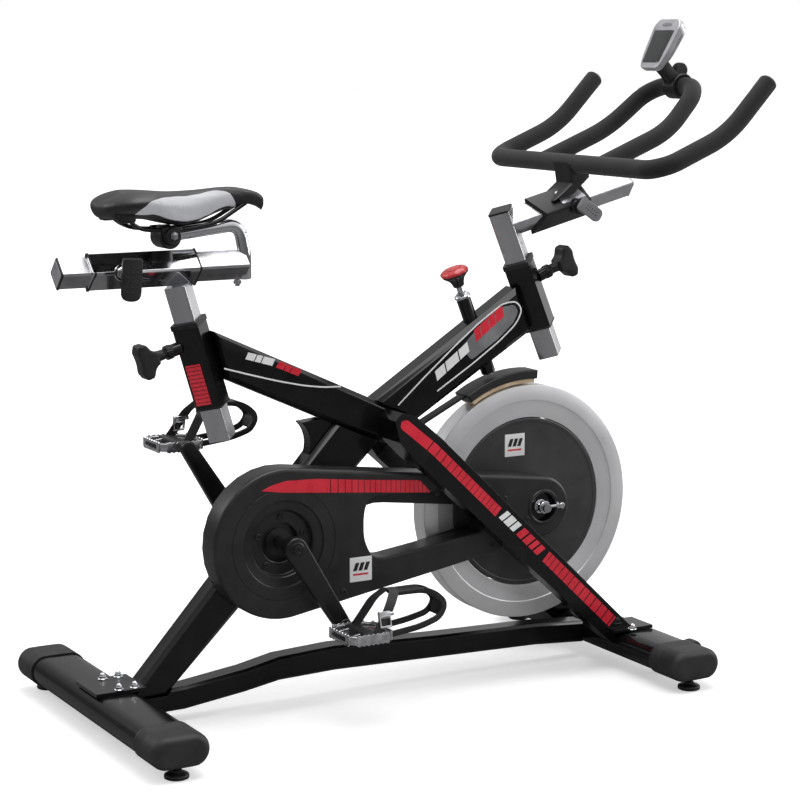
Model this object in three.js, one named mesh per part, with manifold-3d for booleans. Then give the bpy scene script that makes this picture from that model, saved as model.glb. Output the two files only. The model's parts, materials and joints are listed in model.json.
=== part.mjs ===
// Indoor training cycle with a heavy flywheel, belt drive and friction brake.
// Millimetres. +X points to the handlebar end, +Y to the rider's left, +Z up.
// The exported group is shifted so that its origin is the middle of the footprint, on the floor.
import * as THREE from 'three';
import { mergeVertices } from 'three/addons/utils/BufferGeometryUtils.js';
import Module from 'manifold-3d';

const wasm = await Module();
wasm.setup();

// ---------------------------------------------------------------- driving dimensions

const GAP = 0.3;                       // between fixed pieces that touch
const SLIDE_FIT = 0.5;                 // round a sliding tube, each side

const footX = 496;                     // stabiliser centre lines, from the middle
const stabiliserZ = 47;
const stabiliserWidth = 96;
const stabiliserHeight = 50;
const stabiliserLength = 620;          // over the end caps
const footInset = 27;                  // levelling feet, in from the caps' ends
const footY = stabiliserLength / 2 - footInset;
const capLength = 80;
const capWall = 2.5;

const beamWidth = 50;                  // frame beams, across the cycle
const beamChamfer = 9;
const postSide = 38;                   // all square posts and sliders stand on edge
const postCorner = 3;
const sleeveWall = 4;

const seatTilt = 16.5;                 // degrees from the vertical, top rearward
const seatSleeveMid = [-317, 606];
const seatSleeveLength = 145;
const seatPostUp = 142;                // post ends, from the sleeve's middle
const seatPostDown = 134;

const headTilt = 22.5;
const headSleeveMid = [333, 688];
const headSleeveLength = 124;
const headPostUp = 165;
const headPostDown = 122;

const sliderRise = 27.85;              // saddle slider's axis above the post's top
const sliderRear = -566;
const sliderFront = -236;
const carriageRear = -517;
const carriageFront = -326;
const carriageWall = 3;
const seatBarRadius = 11;
const saddleLength = 297;
const saddleRear = -497;
const saddleWidth = 168;
const saddleNoseWidth = 44;
const saddleRise = 75;                 // saddle's top above its clamp
const saddleThickness = 44;
const railGauge = 44;                  // between the rail centres at the clamp

const armTilt = 14.4;                  // handlebar arm, rising forward
const armReach = 268;
const armDrop = 27;                    // arm centre line below the post's top
const barRadius = 16.5;                // foam-covered bars
const barAhead = 143.8;                // bars' crosspiece, ahead of and above the arm's root
const barAbove = 105.5;
const barHalfWidth = 268;
const loopHalfWidth = 94;

const crankCentre = [-202, 300];
const crankLength = 168;
const crankAngle = -57.7;              // degrees from +X, right arm
const crankArmThickness = 18;
const pulleyRadius = 104;
const smallPulleyRadius = 28;
const beltWidth = 12;
const beltThickness = 4;

const flywheelCentre = [318, 311];
const flywheelRadius = 215;
const flywheelWidth = 42;
const flywheelStepRadius = 186;
const flywheelDiscRadius = 154;
const axleRadius = 8;

const guardClearance = 1.3;            // beams to guard
const guardDepth = 49.7;
const guardBack = -beamWidth / 2 - guardClearance;
const guardFace = guardBack - guardDepth;
const guardWall = 3;
const beltY = guardBack - 19.7;        // belt centre plane
const guardRearRadius = 130;
const guardFrontRadius = 55;
const upperArmDepth = 62;
const lowerArmDepth = 49;

const legClearance = 2;                // guard to front legs
const legInner = legClearance - guardFace;
const legOuter = legInner + 36;

const crankArmY = legInner + 29;       // inner face of each crank arm
const pedalWidth = 92;
const pedalLength = 84;
const pedalHeight = 22;
const pedalGap = 9;                    // crank face to pedal

const brakeTilt = 21.5;                // brake screw, top rearward
const brakeTop = [193, 690];
const brakeGuideLength = 148;
const padGap = 3.5;                    // felt to flywheel, brake released
const padThickness = 7;
const shoeHeight = 16;

// ---------------------------------------------------------------- geometry helpers

const V = (x, y, z) => new THREE.Vector3(x, y, z);
const ACROSS = V(0, 1, 0);
const rad = (degrees) => degrees * Math.PI / 180;

// Shares the vertices along seams and drops the empty triangles at the poles.
function welded(geometry) {
  const bare = geometry.clone();
  bare.deleteAttribute('normal');
  bare.deleteAttribute('uv');
  const merged = mergeVertices(bare, 1e-3);
  const index = [];
  for (let i = 0; i < merged.index.count; i += 3) {
    const [a, b, c] = [0, 1, 2].map((k) => merged.index.getX(i + k));
    if (a !== b && b !== c && c !== a) {
      index.push(a, b, c);
    }
  }
  merged.setIndex(index);
  return merged;
}

function solidOf(geometry) {
  const merged = welded(geometry);
  return new wasm.Manifold(new wasm.Mesh({
    numProp: 3,
    vertProperties: new Float32Array(merged.attributes.position.array),
    triVerts: new Uint32Array(merged.index.array),
  }));
}

function geometryOf(solid) {
  const mesh = solid.getMesh();
  const geometry = new THREE.BufferGeometry();
  geometry.setAttribute('position', new THREE.BufferAttribute(mesh.vertProperties, 3));
  geometry.setIndex(new THREE.BufferAttribute(mesh.triVerts, 1));
  const flat = geometry.toNonIndexed();
  flat.computeVertexNormals();
  return flat;
}

function join(...parts) {
  return geometryOf(parts.map(solidOf).reduce((a, b) => a.add(b)));
}

function cut(part, ...tools) {
  return geometryOf(tools.map(solidOf).reduce((a, b) => a.subtract(b), solidOf(part)));
}

function common(a, b) {
  return geometryOf(solidOf(a).intersect(solidOf(b)));
}

// Turns local Z to the given direction and local X to the hinted one.
function place(geometry, origin, direction, hint = ACROSS) {
  const z = direction.clone().normalize();
  if (Math.abs(z.dot(hint)) > 0.999) {
    return place(geometry, origin, direction, V(1, 0, 0));
  }
  const y = new THREE.Vector3().crossVectors(z, hint).normalize();
  const x = new THREE.Vector3().crossVectors(y, z);
  return geometry.applyMatrix4(new THREE.Matrix4().makeBasis(x, y, z).setPosition(origin));
}

function shapeOf(points, ...holes) {
  const shape = new THREE.Shape(points.map((p) => new THREE.Vector2(p[0], p[1])));
  holes.forEach((hole) => {
    shape.holes.push(new THREE.Path(hole.map((p) => new THREE.Vector2(p[0], p[1]))));
  });
  return shape;
}

function extruded(shape, depth, chamfer = 0, steps = 1) {
  return new THREE.ExtrudeGeometry(shape, {
    depth: depth - 2 * chamfer,
    steps,
    bevelEnabled: chamfer > 0,
    bevelThickness: chamfer,
    bevelSize: chamfer,
    bevelOffset: -chamfer,
    bevelSegments: 1,
  }).translate(0, 0, chamfer);
}

// A plate or beam whose outline is drawn in X and Z, from one Y to another.
function sidePlate(shape, yLow, yHigh, chamfer = 0) {
  return extruded(shape, yHigh - yLow, chamfer).rotateX(Math.PI / 2).translate(0, yHigh, 0);
}

function bar(shape, from, to) {
  const run = to.clone().sub(from);
  return place(extruded(shape, run.length()), from, run);
}

function rod(radius, from, to, sides = 20) {
  const run = to.clone().sub(from);
  const cylinder = new THREE.CylinderGeometry(radius, radius, run.length(), sides);
  return place(welded(cylinder.rotateX(Math.PI / 2)).translate(0, 0, run.length() / 2), from, run);
}

// A body of revolution: profile points are [radius, distance along the axis].
function turned(profile, origin, direction, sides = 32) {
  const points = profile.map((p) => new THREE.Vector2(p[0], p[1]));
  return place(welded(new THREE.LatheGeometry(points, sides).rotateX(Math.PI / 2)), origin, direction);
}

function box(low, high) {
  const size = high.map((value, i) => value - low[i]);
  const middle = high.map((value, i) => (value + low[i]) / 2);
  return new THREE.BoxGeometry(...size).translate(...middle);
}

// A square section standing on one corner, its corners cut off.
function diamond(side) {
  const reach = side / Math.SQRT2;
  const nick = postCorner / Math.SQRT2;
  const points = [];
  for (let i = 0; i < 4; i += 1) {
    const a = i * Math.PI / 2;
    for (const turn of [-1, 1]) {
      const along = reach - nick;
      const aside = turn * nick;
      points.push([along * Math.cos(a) - aside * Math.sin(a), along * Math.sin(a) + aside * Math.cos(a)]);
    }
  }
  return points;
}

function circle(radius, centre = [0, 0], sides = 32) {
  return Array.from({ length: sides }, (_, i) => {
    const a = 2 * Math.PI * i / sides;
    return [centre[0] + radius * Math.cos(a), centre[1] + radius * Math.sin(a)];
  });
}

// The outline of a band pulled tight round two circles.
function band(c1, r1, c2, r2, sides = 24) {
  const dx = c2[0] - c1[0];
  const dz = c2[1] - c1[1];
  const lean = Math.acos((r1 - r2) / Math.hypot(dx, dz));
  const course = Math.atan2(dz, dx);
  const points = [];
  const arc = (centre, radius, start, end) => {
    for (let i = 0; i <= sides; i += 1) {
      const a = start + (end - start) * i / sides;
      points.push([centre[0] + radius * Math.cos(a), centre[1] + radius * Math.sin(a)]);
    }
  };
  arc(c1, r1, course + lean, course + 2 * Math.PI - lean);
  arc(c2, r2, course - lean, course + lean);
  return points;
}

function oval(width, height, steps = 10) {
  const r = height / 2;
  return band([-(width / 2 - r), 0], r, [width / 2 - r, 0], r, steps);
}

// A point on a tilted axis: distance up the axis from the middle, and forward of it.
function onAxis(middle, tilt, up, forward = 0) {
  const s = Math.sin(rad(tilt));
  const c = Math.cos(rad(tilt));
  return V(middle[0] - up * s + forward * c, 0, middle[1] + up * c + forward * s);
}

function tube(points, radius, sides, steps, tension = 0.5) {
  const path = new THREE.CatmullRomCurve3(points, false, 'catmullrom', tension);
  return new THREE.ExtrudeGeometry(shapeOf(circle(radius, [0, 0], sides)), { steps, extrudePath: path });
}

// Straight runs joined by rounded corners.
function bentTube(points, bend, radius, sides, steps) {
  const path = new THREE.CurvePath();
  let last = points[0];
  for (let i = 1; i < points.length - 1; i += 1) {
    const before = points[i].clone().lerp(points[i - 1], bend / points[i].distanceTo(points[i - 1]));
    const after = points[i].clone().lerp(points[i + 1], bend / points[i].distanceTo(points[i + 1]));
    path.add(new THREE.LineCurve3(last, before));
    path.add(new THREE.QuadraticBezierCurve3(before, points[i], after));
    last = after;
  }
  path.add(new THREE.LineCurve3(last, points[points.length - 1]));
  return new THREE.ExtrudeGeometry(shapeOf(circle(radius, [0, 0], sides)), { steps, extrudePath: path });
}

// ---------------------------------------------------------------- materials

const finish = (color, roughness, metalness) =>
  new THREE.MeshStandardMaterial({ color, roughness, metalness });
const framePaint = finish(0x0c0c0e, 0.2, 0.1);
const blackPlastic = finish(0x17171a, 0.5, 0);
const guardPlastic = finish(0x2a2828, 0.35, 0);
const rubber = finish(0x1a1a1b, 0.85, 0);
const chrome = finish(0xd8dadd, 0.15, 1);
const satinSteel = finish(0xb9bbbf, 0.38, 1);
const flywheelSteel = finish(0xd2d4d6, 0.3, 1);
const discPaint = finish(0x3f3f40, 0.5, 0.1);
const foam = finish(0x1c1c1d, 0.95, 0);
const vinyl = finish(0x1d1d20, 0.55, 0);
const redPlastic = finish(0xc8202f, 0.4, 0);
const felt = finish(0xcdb48f, 1, 0);
const silverPlastic = finish(0xb4b6ba, 0.35, 0.4);
const beltRubber = finish(0x151515, 0.8, 0);

const bike = new THREE.Group();

function add(name, geometry, material) {
  const mesh = new THREE.Mesh(geometry, material);
  mesh.name = name;
  bike.add(mesh);
}

const sides = [['right', -1], ['left', 1]];

// ---------------------------------------------------------------- stabilisers and feet

const tubeHalf = stabiliserLength / 2 - capLength;
const stemBore = 6;
const stemRadius = 5;
const soleRadius = 20;

for (const [end, x] of [['rear', -footX], ['front', footX]]) {
  const section = shapeOf(oval(stabiliserWidth, stabiliserHeight));
  const tubeShape = extruded(section, 2 * tubeHalf);
  let stabiliser = place(tubeShape, V(x, -tubeHalf, stabiliserZ), ACROSS, V(1, 0, 0));
  if (end === 'front') {
    for (const side of [-1, 1]) {
      stabiliser = join(stabiliser, wheelBracket(side));
    }
  }
  add(`${end}_stabiliser`, stabiliser, framePaint);

  for (const [name, side] of sides) {
    const capSection = shapeOf(oval(stabiliserWidth + 2 * capWall, stabiliserHeight + 2 * capWall));
    const from = V(x, side * (tubeHalf + GAP), stabiliserZ);
    const cap = place(extruded(capSection, capLength - GAP, 0), from, V(0, side, 0), V(side, 0, 0));
    const blunt = place(extruded(capSection, 2 * capLength, 8),
      V(x, side * (tubeHalf - capLength), stabiliserZ),
      V(0, side, 0), V(side, 0, 0));
    const bore = rod(stemBore, V(x, side * footY, 0), V(x, side * footY, stabiliserZ));
    add(`${end}_cap_${name}`, cut(common(cap, blunt), bore), rubber);
    const foot = turned([[0, 0], [soleRadius, 0], [soleRadius, 6], [soleRadius - 4, 9], [stemRadius, 10],
      [stemRadius, 34], [0, 34]], V(x, side * footY, 0), V(0, 0, 1), 16);
    add(`${end}_foot_${name}`, foot, rubber);
  }
}

// Two cheeks and a web in front of the tube carry each transport wheel.
function wheelBracket(side) {
  const { x, y, z, width } = transportWheel();
  const cheek = shapeOf([[footX, z - 9], [x + 9, z - 9], [x + 9, z + 9], [footX, z + 16]]);
  const middle = side * y;
  const inner = sidePlate(cheek, middle - width / 2 - 5, middle - width / 2 - 1.5);
  const outer = sidePlate(cheek, middle + width / 2 + 1.5, middle + width / 2 + 5);
  const pin = rod(4, V(x, middle - width / 2 - 3, z), V(x, middle + width / 2 + 3, z), 16);
  return join(inner, outer, pin);
}

function transportWheel() {
  return { x: footX + stabiliserWidth / 2 + 24, y: 190, z: 38, radius: 21, width: 20 };
}

for (const [name, side] of sides) {
  const { x, y, z, radius, width } = transportWheel();
  const wheel = turned([[4 + GAP, -width / 2], [radius - 2, -width / 2], [radius, -width / 2 + 2],
    [radius, width / 2 - 2], [radius - 2, width / 2], [4 + GAP, width / 2], [4 + GAP, -width / 2]],
  V(x, side * y, z), ACROSS, 20);
  add(`transport_wheel_${name}`, wheel, blackPlastic);
}

// ---------------------------------------------------------------- frame

const halfBeam = beamWidth / 2;
const sleeveSide = postSide + 2 * (SLIDE_FIT + sleeveWall);
const sleeveReach = (sleeveSide - postCorner) / Math.SQRT2;

// Moves every edge of a convex outline outward.
function grown(points, distance) {
  const area = points.reduce((sum, p, i) => {
    const q = points[(i + 1) % points.length];
    return sum + p[0] * q[1] - q[0] * p[1];
  }, 0);
  const out = Math.sign(area) * distance;
  const edges = points.map((p, i) => {
    const q = points[(i + 1) % points.length];
    const length = Math.hypot(q[0] - p[0], q[1] - p[1]);
    const along = [(q[0] - p[0]) / length, (q[1] - p[1]) / length];
    return { start: [p[0] + along[1] * out, p[1] - along[0] * out], along };
  });
  return edges.map((edge, i) => {
    const before = edges[(i + edges.length - 1) % edges.length];
    const cross = before.along[0] * edge.along[1] - before.along[1] * edge.along[0];
    const dx = edge.start[0] - before.start[0];
    const dz = edge.start[1] - before.start[1];
    const t = (dx * edge.along[1] - dz * edge.along[0]) / cross;
    return [before.start[0] + before.along[0] * t, before.start[1] + before.along[1] * t];
  });
}

const trim = (points, reach = halfBeam + 1) => sidePlate(shapeOf(grown(points, GAP)), -reach, reach);
const flat = (point) => [point.x, point.z];

// Seat beam: from the seat sleeve through the crossing.
const seatOutline = [
  flat(onAxis(seatSleeveMid, seatTilt, 50, sleeveReach + GAP)),
  flat(onAxis(seatSleeveMid, seatTilt, -38, sleeveReach + GAP)),
  [-37, 470], [44, 438], [66, 495],
];
add('seat_beam', sidePlate(shapeOf(seatOutline), -halfBeam, halfBeam, beamChamfer), framePaint);

// Head beam, with the brake screw's guide tube through it.
const guideOuter = 13;
const guideBore = 6.4;
const brakeAxis = (down, forward = 0) => {
  const s = Math.sin(rad(brakeTilt));
  const c = Math.cos(rad(brakeTilt));
  return V(brakeTop[0] + down * s + forward * c, 0, brakeTop[1] - down * c + forward * s);
};
const headOutline = [
  flat(onAxis(headSleeveMid, headTilt, 30, -sleeveReach - GAP)),
  [6, 522], [40, 450], [88, 481],
  flat(onAxis(headSleeveMid, headTilt, -56, -sleeveReach - GAP)),
];
const headBlock = cut(sidePlate(shapeOf(headOutline), -halfBeam, halfBeam, beamChamfer), trim(seatOutline));
const guide = rod(guideOuter, brakeAxis(0), brakeAxis(brakeGuideLength), 24);
const guideHole = rod(guideBore, brakeAxis(-5), brakeAxis(brakeGuideLength + 5), 20);
add('head_beam', cut(join(headBlock, guide), guideHole), framePaint);

// Rear leg: carries the bottom bracket shell and ends on the rear stabiliser's foot plate.
const shellRadius = 24;
const shellHalf = halfBeam + 9;
const shellBore = 17;
const plateTop = stabiliserZ + stabiliserHeight / 2 + GAP + 6;
const rearOutline = [[-40, 528], [40, 470], [-4, 434], [98 - footX, 50], [26 - footX, 50]];
const rearLegBlock = sidePlate(shapeOf(rearOutline), -halfBeam, halfBeam, beamChamfer);
const rearStabiliserTrim = place(extruded(shapeOf(oval(stabiliserWidth + 2 * GAP,
  stabiliserHeight + 2 * GAP)), 200),
  V(-footX, -100, stabiliserZ), ACROSS, V(1, 0, 0));
const rearPlate = box([-footX - 38, -46, plateTop - 6], [-footX + 52, 46, plateTop]);
const shell = rod(shellRadius, V(crankCentre[0], -shellHalf, crankCentre[1]),
  V(crankCentre[0], shellHalf, crankCentre[1]), 28);
const shellHole = rod(shellBore, V(crankCentre[0], -60, crankCentre[1]),
  V(crankCentre[0], 60, crankCentre[1]), 24);
const rearLeg = cut(join(rearLegBlock, shell, rearPlate), shellHole, rearStabiliserTrim, trim(seatOutline));
add('rear_leg', rearLeg, framePaint);

// Curved gusset in the fork between the seat beam and the rear leg.
const gussetArc = Array.from({ length: 9 }, (_, i) => {
  const a = rad(48 - 96 * i / 8);
  return [-171 + 52 * Math.cos(a), 455 + 52 * Math.sin(a)];
});
const gusset = sidePlate(shapeOf([...gussetArc, [-70, 430], [-40, 460], [-70, 500]]), -14, 14);
const legTrim = sidePlate(shapeOf(grown(rearOutline, GAP)), -30, 30);
add('gusset', cut(gusset, trim(seatOutline), legTrim), framePaint);

// Sleeves for the two posts, each with a threaded boss for its locking pin.
const bossRadius = 11;
const bossLength = 26;
const pinRadius = 5;

function sleeve(middle, tilt, length, facing, pinUp) {
  const foot = onAxis(middle, tilt, -length / 2);
  const top = onAxis(middle, tilt, length / 2);
  const section = shapeOf(diamond(sleeveSide), diamond(postSide + 2 * SLIDE_FIT).reverse());
  const reach = sleeveReach - 3;
  const boss = rod(bossRadius, onAxis(middle, tilt, pinUp, facing * reach),
    onAxis(middle, tilt, pinUp, facing * (reach + bossLength)), 20);
  const bore = rod(pinRadius + 0.5, onAxis(middle, tilt, pinUp, 0),
    onAxis(middle, tilt, pinUp, facing * (reach + bossLength + 5)), 16);
  const passage = bar(shapeOf(diamond(postSide + 2 * SLIDE_FIT)), foot, top);
  return cut(join(bar(section, foot, top), cut(boss, passage)), bore);
}

const seatPinUp = 40;
const headPinUp = 22;
add('seat_sleeve', sleeve(seatSleeveMid, seatTilt, seatSleeveLength, -1, seatPinUp), framePaint);
add('head_sleeve', sleeve(headSleeveMid, headTilt, headSleeveLength, 1, headPinUp), framePaint);

// Front legs: out from the crossing, past the guard and down to the front stabiliser.
const legUpper = [[101, 446], [footX - 24, 92.5]];
const legLower = [[72, 392], [footX - 100, 97]];
const bracketHole = [232, 281];
const bracketY = [guardFace + 10, guardFace + 15];
const bracketRadius = 14;

function frontLeg(side) {
  const y = (value) => side * value;
  const span = (a, b) => [Math.min(y(a), y(b)), Math.max(y(a), y(b))];
  const outline = shapeOf([[8, 494], [22, 508], [46, 500], legUpper[0], [footX + 4, 66], [footX - 6, 50],
    [footX - 46, 47],
    legLower[0], [36, 424], [12, 458]]);
  const leg = sidePlate(outline, ...span(halfBeam + GAP, legOuter));
  // The plan shape, seen square to the leg: it steps outward below the crossing.
  const course = V(legUpper[1][0] - legUpper[0][0], 0, legUpper[1][1] - legUpper[0][1]).normalize();
  const plan = shapeOf([[-150, y(20)], [-150, y(66)], [-120, y(84)], [-40, y(legOuter)], [620, y(legOuter)],
    [620, y(legInner)], [-14, y(legInner)], [-96, y(20)]]);
  const upward = new THREE.Vector3().crossVectors(course, ACROSS);
  const planBlock = extruded(plan, 400).translate(0, 0, -200);
  const turnedBlock = planBlock.applyMatrix4(new THREE.Matrix4().makeBasis(course, ACROSS, upward)
    .setPosition(V(110, 0, 430)));
  const shaped = common(leg, turnedBlock);
  const [low, high] = span(-bracketY[0], -bracketY[1]);
  const bracket = sidePlate(shapeOf(band(flywheelCentre, 24, bracketHole, bracketRadius + 4, 12)), low, high);
  const spacer = rod(bracketRadius, V(bracketHole[0], side * (-bracketY[0] - 2), bracketHole[1]),
    V(bracketHole[0], side * (legInner + 10), bracketHole[1]), 20);
  const plate = box([footX - 56, span(legInner - 16, legOuter + 16)[0], plateTop - 6],
    [footX + 30, span(legInner - 16, legOuter + 16)[1], plateTop]);
  const axleHole = rod(axleRadius + GAP, V(flywheelCentre[0], -90, flywheelCentre[1]),
    V(flywheelCentre[0], 90, flywheelCentre[1]), 20);
  const under = place(extruded(shapeOf(oval(stabiliserWidth + 2 * GAP, stabiliserHeight + 2 * GAP)), 400),
    V(footX, -200, stabiliserZ), ACROSS, V(1, 0, 0));
  return cut(join(shaped, bracket, spacer, plate), axleHole, under);
}

for (const [name, side] of sides) {
  add(`front_leg_${name}`, frontLeg(side), framePaint);
}

// Arched base beam between the stabilisers.
const baseHalf = 22;
const baseEnd = footX - 48;
const baseArch = (offset) => [[-baseEnd, 40 + offset], [-364, 41 + offset], [-250, 55 + offset],
  [-185, 67 + offset * 1.05], [-76, 71 + offset * 1.1], [127, 64 + offset], [341, 58 + offset],
  [baseEnd, 50 + offset]];
const baseOutline = shapeOf([...baseArch(20), ...baseArch(-20).reverse()]);
const stabiliserTrims = [-footX, footX].map((x) => place(
  extruded(shapeOf(oval(stabiliserWidth + 2 * GAP, stabiliserHeight + 2 * GAP)), 200),
  V(x, -100, stabiliserZ), ACROSS, V(1, 0, 0)));
const legOpening = trim(rearOutline);
add('base_beam', cut(sidePlate(baseOutline, -baseHalf, baseHalf, 5), ...stabiliserTrims, legOpening),
  framePaint);

// ---------------------------------------------------------------- flywheel and its axle

const axleEnd = legInner + 14;
const wheelAxis = (radius, low, high, count = 20) => rod(radius, V(flywheelCentre[0], low, flywheelCentre[1]),
  V(flywheelCentre[0], high, flywheelCentre[1]), count);
const nutRadius = 11;
const rightNut = wheelAxis(nutRadius, bracketY[0] - GAP - 9, bracketY[0] - GAP, 6);
const leftNut = wheelAxis(nutRadius, -bracketY[0] + GAP, -bracketY[0] + GAP + 9, 6);
add('flywheel_axle', join(wheelAxis(axleRadius, -axleEnd, axleEnd - 10), rightNut, leftNut), satinSteel);

const half = flywheelWidth / 2;
const discHalf = half - 3;
const webHalf = 5;
const hubHalf = -beltY - 10;
const hubRadius = 30;
const coverThickness = 2.5;
const seatDepth = coverThickness + GAP;
add('flywheel', turned([
  [axleRadius + GAP, -hubHalf], [hubRadius - 4, -hubHalf], [hubRadius - 4, -webHalf - 8],
  [hubRadius, -webHalf],
  [flywheelDiscRadius - 8, -webHalf], [flywheelDiscRadius - 2, -discHalf + seatDepth],
  [flywheelDiscRadius + GAP, -discHalf + seatDepth], [flywheelDiscRadius + GAP, -discHalf],
  [flywheelStepRadius - 2, -discHalf], [flywheelStepRadius, -half], [flywheelRadius - 3, -half],
  [flywheelRadius, -half + 3], [flywheelRadius, half - 3], [flywheelRadius - 3, half],
  [flywheelStepRadius, half], [flywheelStepRadius - 2, discHalf], [flywheelDiscRadius + GAP, discHalf],
  [flywheelDiscRadius + GAP, discHalf - seatDepth], [flywheelDiscRadius - 2, discHalf - seatDepth],
  [flywheelDiscRadius - 8, webHalf], [hubRadius, webHalf], [hubRadius - 4, webHalf + 8],
  [hubRadius - 4, hubHalf], [axleRadius + GAP, hubHalf], [axleRadius + GAP, -hubHalf],
], V(flywheelCentre[0], 0, flywheelCentre[1]), ACROSS, 36), flywheelSteel);

for (const [name, side] of sides) {
  const inner = side * (discHalf - coverThickness);
  const outer = side * discHalf;
  const low = Math.min(inner, outer);
  const high = Math.max(inner, outer);
  const coverBore = hubRadius - 4 + GAP;
  add(`flywheel_disc_${name}`, turned([[coverBore, low], [flywheelDiscRadius, low],
    [flywheelDiscRadius, high],
    [coverBore, high], [coverBore, low]], V(flywheelCentre[0], 0, flywheelCentre[1]), ACROSS, 36), discPaint);
}

// ---------------------------------------------------------------- belt drive

const beltHalf = beltWidth / 2;
const flangeHalf = beltHalf + 1.5;
const pulleyProfile = (bore, radius, web, low, high) => [
  [bore, low], [bore + 14, low], [bore + 14, -web], [radius - 9, -web], [radius - 9, -flangeHalf],
  [radius, -flangeHalf], [radius, flangeHalf], [radius - 9, flangeHalf], [radius - 9, web],
  [bore + 14, web], [bore + 14, high], [bore, high], [bore, low],
];
const crankAxleRadius = 10;
add('large_pulley', turned(pulleyProfile(crankAxleRadius + GAP, pulleyRadius, 3, -flangeHalf, flangeHalf),
  V(crankCentre[0], beltY, crankCentre[1]), ACROSS, 28), satinSteel);
add('small_pulley', turned([[axleRadius + GAP, -flangeHalf], [smallPulleyRadius, -flangeHalf],
  [smallPulleyRadius, flangeHalf], [axleRadius + GAP, flangeHalf], [axleRadius + GAP, -flangeHalf]],
V(flywheelCentre[0], beltY, flywheelCentre[1]), ACROSS, 24), satinSteel);

const beltInner = band(crankCentre, pulleyRadius + GAP, flywheelCentre, smallPulleyRadius + GAP, 26);
const beltOuter = band(crankCentre, pulleyRadius + GAP + beltThickness, flywheelCentre,
  smallPulleyRadius + GAP + beltThickness, 26);
add('drive_belt', sidePlate(shapeOf(beltOuter, beltInner.reverse()), beltY - beltHalf, beltY + beltHalf),
  beltRubber);

// Belt guard: a tray with a window between its arms, and a flat back.
const guardLine = (inset) => band(crankCentre, guardRearRadius - inset, flywheelCentre,
  guardFrontRadius - inset, 16);
const armSlope = Math.asin((guardRearRadius - guardFrontRadius)
  / Math.hypot(flywheelCentre[0] - crankCentre[0], flywheelCentre[1] - crankCentre[1]));

// The window's outline: two edges parallel to the guard's own, a round rear end and a round front end.
function windowLine(inset) {
  const course = Math.atan2(flywheelCentre[1] - crankCentre[1], flywheelCentre[0] - crankCentre[0]);
  const upper = { angle: course - armSlope, depth: upperArmDepth + inset };
  const lower = { angle: course + armSlope, depth: lowerArmDepth + inset };
  const edgePoint = (edge, side, x) => {
    const normal = [-Math.sin(edge.angle) * side, Math.cos(edge.angle) * side];
    const start = [crankCentre[0] + normal[0] * (guardRearRadius - edge.depth),
      crankCentre[1] + normal[1] * (guardRearRadius - edge.depth)];
    return [x, start[1] + (x - start[0]) * Math.tan(edge.angle)];
  };
  const rearX = -48 + inset;
  const frontX = 196 - inset;
  const topRear = edgePoint(upper, 1, rearX + 62);
  const lowRear = edgePoint(lower, -1, rearX + 38);
  const rearMiddle = [rearX, (topRear[1] + lowRear[1]) / 2];
  const rear = new THREE.CubicBezierCurve(new THREE.Vector2(...topRear),
    new THREE.Vector2(rearX + 22, topRear[1] + 6), new THREE.Vector2(rearX - 4, rearMiddle[1] + 34),
    new THREE.Vector2(...rearMiddle)).getPoints(6);
  const low = new THREE.CubicBezierCurve(new THREE.Vector2(...rearMiddle),
    new THREE.Vector2(rearX + 2, rearMiddle[1] - 24), new THREE.Vector2(rearX + 12, lowRear[1] - 4),
    new THREE.Vector2(...lowRear)).getPoints(6).slice(1);
  const lowFront = edgePoint(lower, -1, frontX - 8);
  const topFront = edgePoint(upper, 1, frontX - 8);
  return [...rear, ...low].map((p) => [p.x, p.y]).concat([lowFront, [frontX, lowFront[1] + 9],
    [frontX, topFront[1] - 9], topFront]);
}

const tray = sidePlate(shapeOf(guardLine(0), windowLine(0).reverse()), guardFace,
  guardBack - guardWall - GAP, 0);
const hollow = sidePlate(shapeOf(guardLine(guardWall), windowLine(-guardWall).reverse()),
  guardFace + guardWall, guardBack + 5, 0);
const openings = [
  rod(34, V(crankCentre[0], -100, crankCentre[1]), V(crankCentre[0], -60, crankCentre[1]), 32),
  rod(26, V(flywheelCentre[0], -100, flywheelCentre[1]), V(flywheelCentre[0], -60, flywheelCentre[1]), 24),
  rod(bracketRadius + 1, V(bracketHole[0], -100, bracketHole[1]), V(bracketHole[0], -60, bracketHole[1]), 20),
];
add('guard_cover', cut(tray, hollow, ...openings), guardPlastic);
const back = sidePlate(shapeOf(guardLine(0), windowLine(0).reverse()), guardBack - guardWall, guardBack);
add('guard_back', cut(back,
  rod(shellRadius + 14, V(crankCentre[0], -40, crankCentre[1]), V(crankCentre[0], -20, crankCentre[1]), 28),
  wheelAxis(hubRadius + 4, -40, -20, 28)), guardPlastic);

// ---------------------------------------------------------------- cranks and pedals

const axleHalf = crankArmY - 10;
add('crank_axle', rod(crankAxleRadius, V(crankCentre[0], -axleHalf, crankCentre[1]),
  V(crankCentre[0], axleHalf, crankCentre[1]), 24), satinSteel);

const pedalInner = crankArmY + crankArmThickness + pedalGap;
const spindleRadius = 6;

function pedalPoint(side) {
  const a = rad(crankAngle) + (side > 0 ? Math.PI : 0);
  return [crankCentre[0] + crankLength * Math.cos(a), crankCentre[1] + crankLength * Math.sin(a)];
}

function crank(side) {
  const end = pedalPoint(side);
  const inner = side * crankArmY;
  const outer = side * (crankArmY + crankArmThickness);
  const arm = sidePlate(shapeOf(band(crankCentre, 20, end, 13, 12)), Math.min(inner, outer),
    Math.max(inner, outer), 3);
  const boss = rod(17, V(crankCentre[0], side * (axleHalf + GAP), crankCentre[1]),
    V(crankCentre[0], side * (crankArmY + 4), crankCentre[1]), 24);
  const spindle = rod(spindleRadius, V(end[0], side * (crankArmY + 4), end[1]),
    V(end[0], side * (pedalInner + pedalWidth - 8), end[1]), 18);
  return join(arm, boss, spindle);
}

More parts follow.
